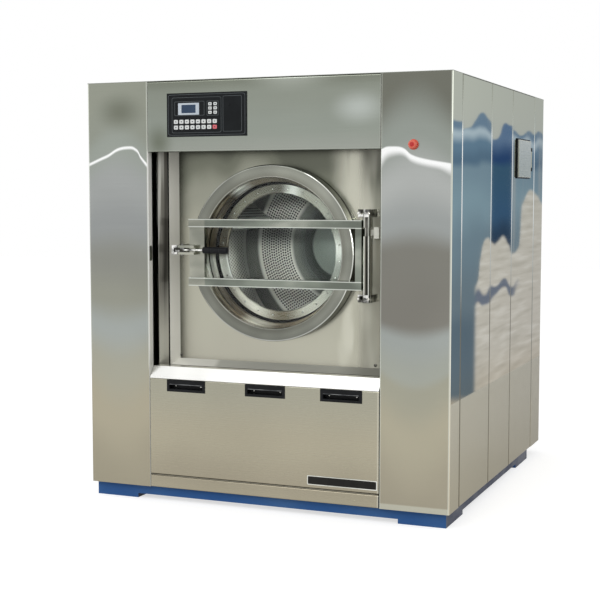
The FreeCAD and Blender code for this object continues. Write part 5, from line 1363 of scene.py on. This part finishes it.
GLASS_HAZE = (0.0, 0.02)
GLASS_BEND = 1.22
BAR_HEIGHTS = (1.4015, 1.1085)
BAR_TONES = ((0.30, (104, 109, 101)), (0.50, (130, 136, 126)), (0.70, (168, 171, 160)))
BAR_LINES = (300.0, 3.0, 300.0)
BAR_NOISE = (3.0, 2.0, (1.0, 1.0, 2.4))
BAR_EDGE = (0.0145, 0.0175)
BAR_END = (0.0205, 0.0215)
BAR_EDGE_HIGHLIGHT = (208, 212, 204)
BAR_EDGE_SHARE = 0.8
BAR_TOP = (0.4, 0.8)
BAR_TOP_HIGHLIGHT = (206, 210, 202)
END_PLATE = (-0.345, -0.335)
END_PLATE_TONES = ((0.32, (132, 134, 124)), (0.66, (196, 196, 182)))
SLEEVE_START = (0.4868, 0.4875)
CHROME_REFLECTION_STRIPES = (
    (-1.0, (190, 190, 182)), (-0.55, (238, 238, 232)), (-0.2, (120, 118, 108)), (0.05, (36, 36, 33)),
    (0.38, (52, 52, 48)), (0.56, (232, 232, 226)), (0.8, (150, 150, 142)), (1.0, (206, 206, 198)),
)

# The ring: painted highlights along both edges, painted shade towards the bottom, painted reflections in the
# bore.
door_sheet, tree, shader = finish_of("door_ring_sheet")
level = between(tree, speckle(tree, *RING_NOISE), *RING_CLOUDS)
level = product(tree, level, between(tree, height_of(tree), *RING_SHADE, *RING_SHADE_SPAN))
bore = falling(tree, from_axis(tree), *RING_BORE)
colour = scaled(tree, ramp(tree, from_axis(tree), RING_HIGHLIGHT_TONES), level)
colour = mixed(tree, bore, colour, painted_brown_reflection(tree))
ground(tree, shader, colour, roughness=0.16, lines=NO_LINES, metal=graded(tree, bore, 1.0, 0.2))
dress(door_sheet, "door_ring")

glass, tree, shader = finish_of("door_glass")
tint = mixed(tree, between(tree, speckle(tree, GLASS_CLOUDS), 0.0, 1.0), *GLASS_TINTS)
feed(tree, shader, Base_Color=tint, Transmission_Weight=1.0, IOR=GLASS_BEND)
feed(tree, shader, Roughness=between(tree, speckle(tree, *GLASS_NOISE), *GLASS_HAZE))
dress(glass, "door_glass")
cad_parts["door_glass"].visible_shadow = False

# The bars: painted highlights on their upper faces and edges, painted reflection stripes on the sleeve.
bar_steel, tree, shader = finish_of("bar_steel")
spot, way = place_of(tree), facing_of(tree)
patches = speckle(tree, *BAR_NOISE)
end_plate = falling(tree, spot["X"], *END_PLATE)
colour = mixed(tree, end_plate, ramp(tree, patches, BAR_TONES), ramp(tree, patches, END_PLATE_TONES))
off_bar = calc(tree, "MINIMUM", *[off_from(tree, spot["Z"], height) for height in BAR_HEIGHTS])
bar_edge = product(tree, rising(tree, off_bar, *BAR_EDGE, BAR_EDGE_SHARE), falling(tree, off_bar, *BAR_END))
bar_top = rising(tree, way["Z"], *BAR_TOP)
colour = layered(tree, colour, (bar_edge, BAR_EDGE_HIGHLIGHT), (bar_top, BAR_TOP_HIGHLIGHT))
colour = mixed(tree, rising(tree, spot["X"], *SLEEVE_START), colour, ramp(tree, way["X"], CHROME_REFLECTION_STRIPES))
ground(tree, shader, colour, roughness=0.2, lines=BAR_LINES)
dress(bar_steel, "door_frame")

# The hinge post and the lever latch: chromed pins, lever and knuckle. The hinge pin's round faces carry a
# painted reflection, a dark stripe between two bright ones, and the latch's chrome is streaked with painted
# white and dark reflections, as are the bright brackets, which have two bolts each; the switch block is pale.
CHROME_MARK = (150, 150, 143)
CHROME_MARK_SHARE = 0.35
CHROME_NOISE = (14.0, 2.0)
CHROME_SHEEN = 30.0
CHROME_GLOSS = (0.05, 0.11)
LATCH_REFLECTION_TONES = ((244, 244, 240), (62, 62, 58))
LATCH_DRAW = (1.0, 1.0, 1.6)
SWITCH_GREY = ((206, 206, 196), (190, 190, 180))
BOLT_RADIUS = 0.0075
BOLT_LIFT = 0.004
BOLT_ACROSS = (0.472, 0.524)
BOLT_INSET = 0.018

# The hinge pin: a painted reflection, a dark stripe between two bright ones.
chrome, tree, shader = finish_of("chromed_steel")
marks = between(tree, speckle(tree, *CHROME_NOISE), 0.0, CHROME_MARK_SHARE)
colour = layered(tree, ramp(tree, facing_of(tree)["X"], CHROME_REFLECTION_STRIPES), (marks, CHROME_MARK))
feed(tree, shader, Base_Color=colour, Metallic=1.0)
feed(tree, shader, Roughness=between(tree, speckle(tree, CHROME_SHEEN), *CHROME_GLOSS))
dress(chrome, "hinge_pin")
# The latch and brackets: streaks of painted white and dark reflection.
latch_chrome = bright_steel("latch_chrome", *LATCH_REFLECTION_TONES, roughness=0.08, drawn=LATCH_DRAW, cloud=26.0)
dress(latch_chrome, "latch_lever", "latch_pin", "latch_keeper", "hinge_brackets")
dress(plastic("switch_grey", *SWITCH_GREY, roughness=0.45), "door_switch")
bracket_low, bracket_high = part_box("hinge_brackets")
bolt_rows = (bracket_low[2] + BOLT_INSET, bracket_high[2] - BOLT_INSET)
bolt_places = at_front([(across, bracket_low[1], up) for up in bolt_rows for across in BOLT_ACROSS])
bolt_head = dome(BOLT_RADIUS, BOLT_LIFT)
add_piece("bracket_bolts", bolt_head, bolt_places, rivet_steel, "tub", True)
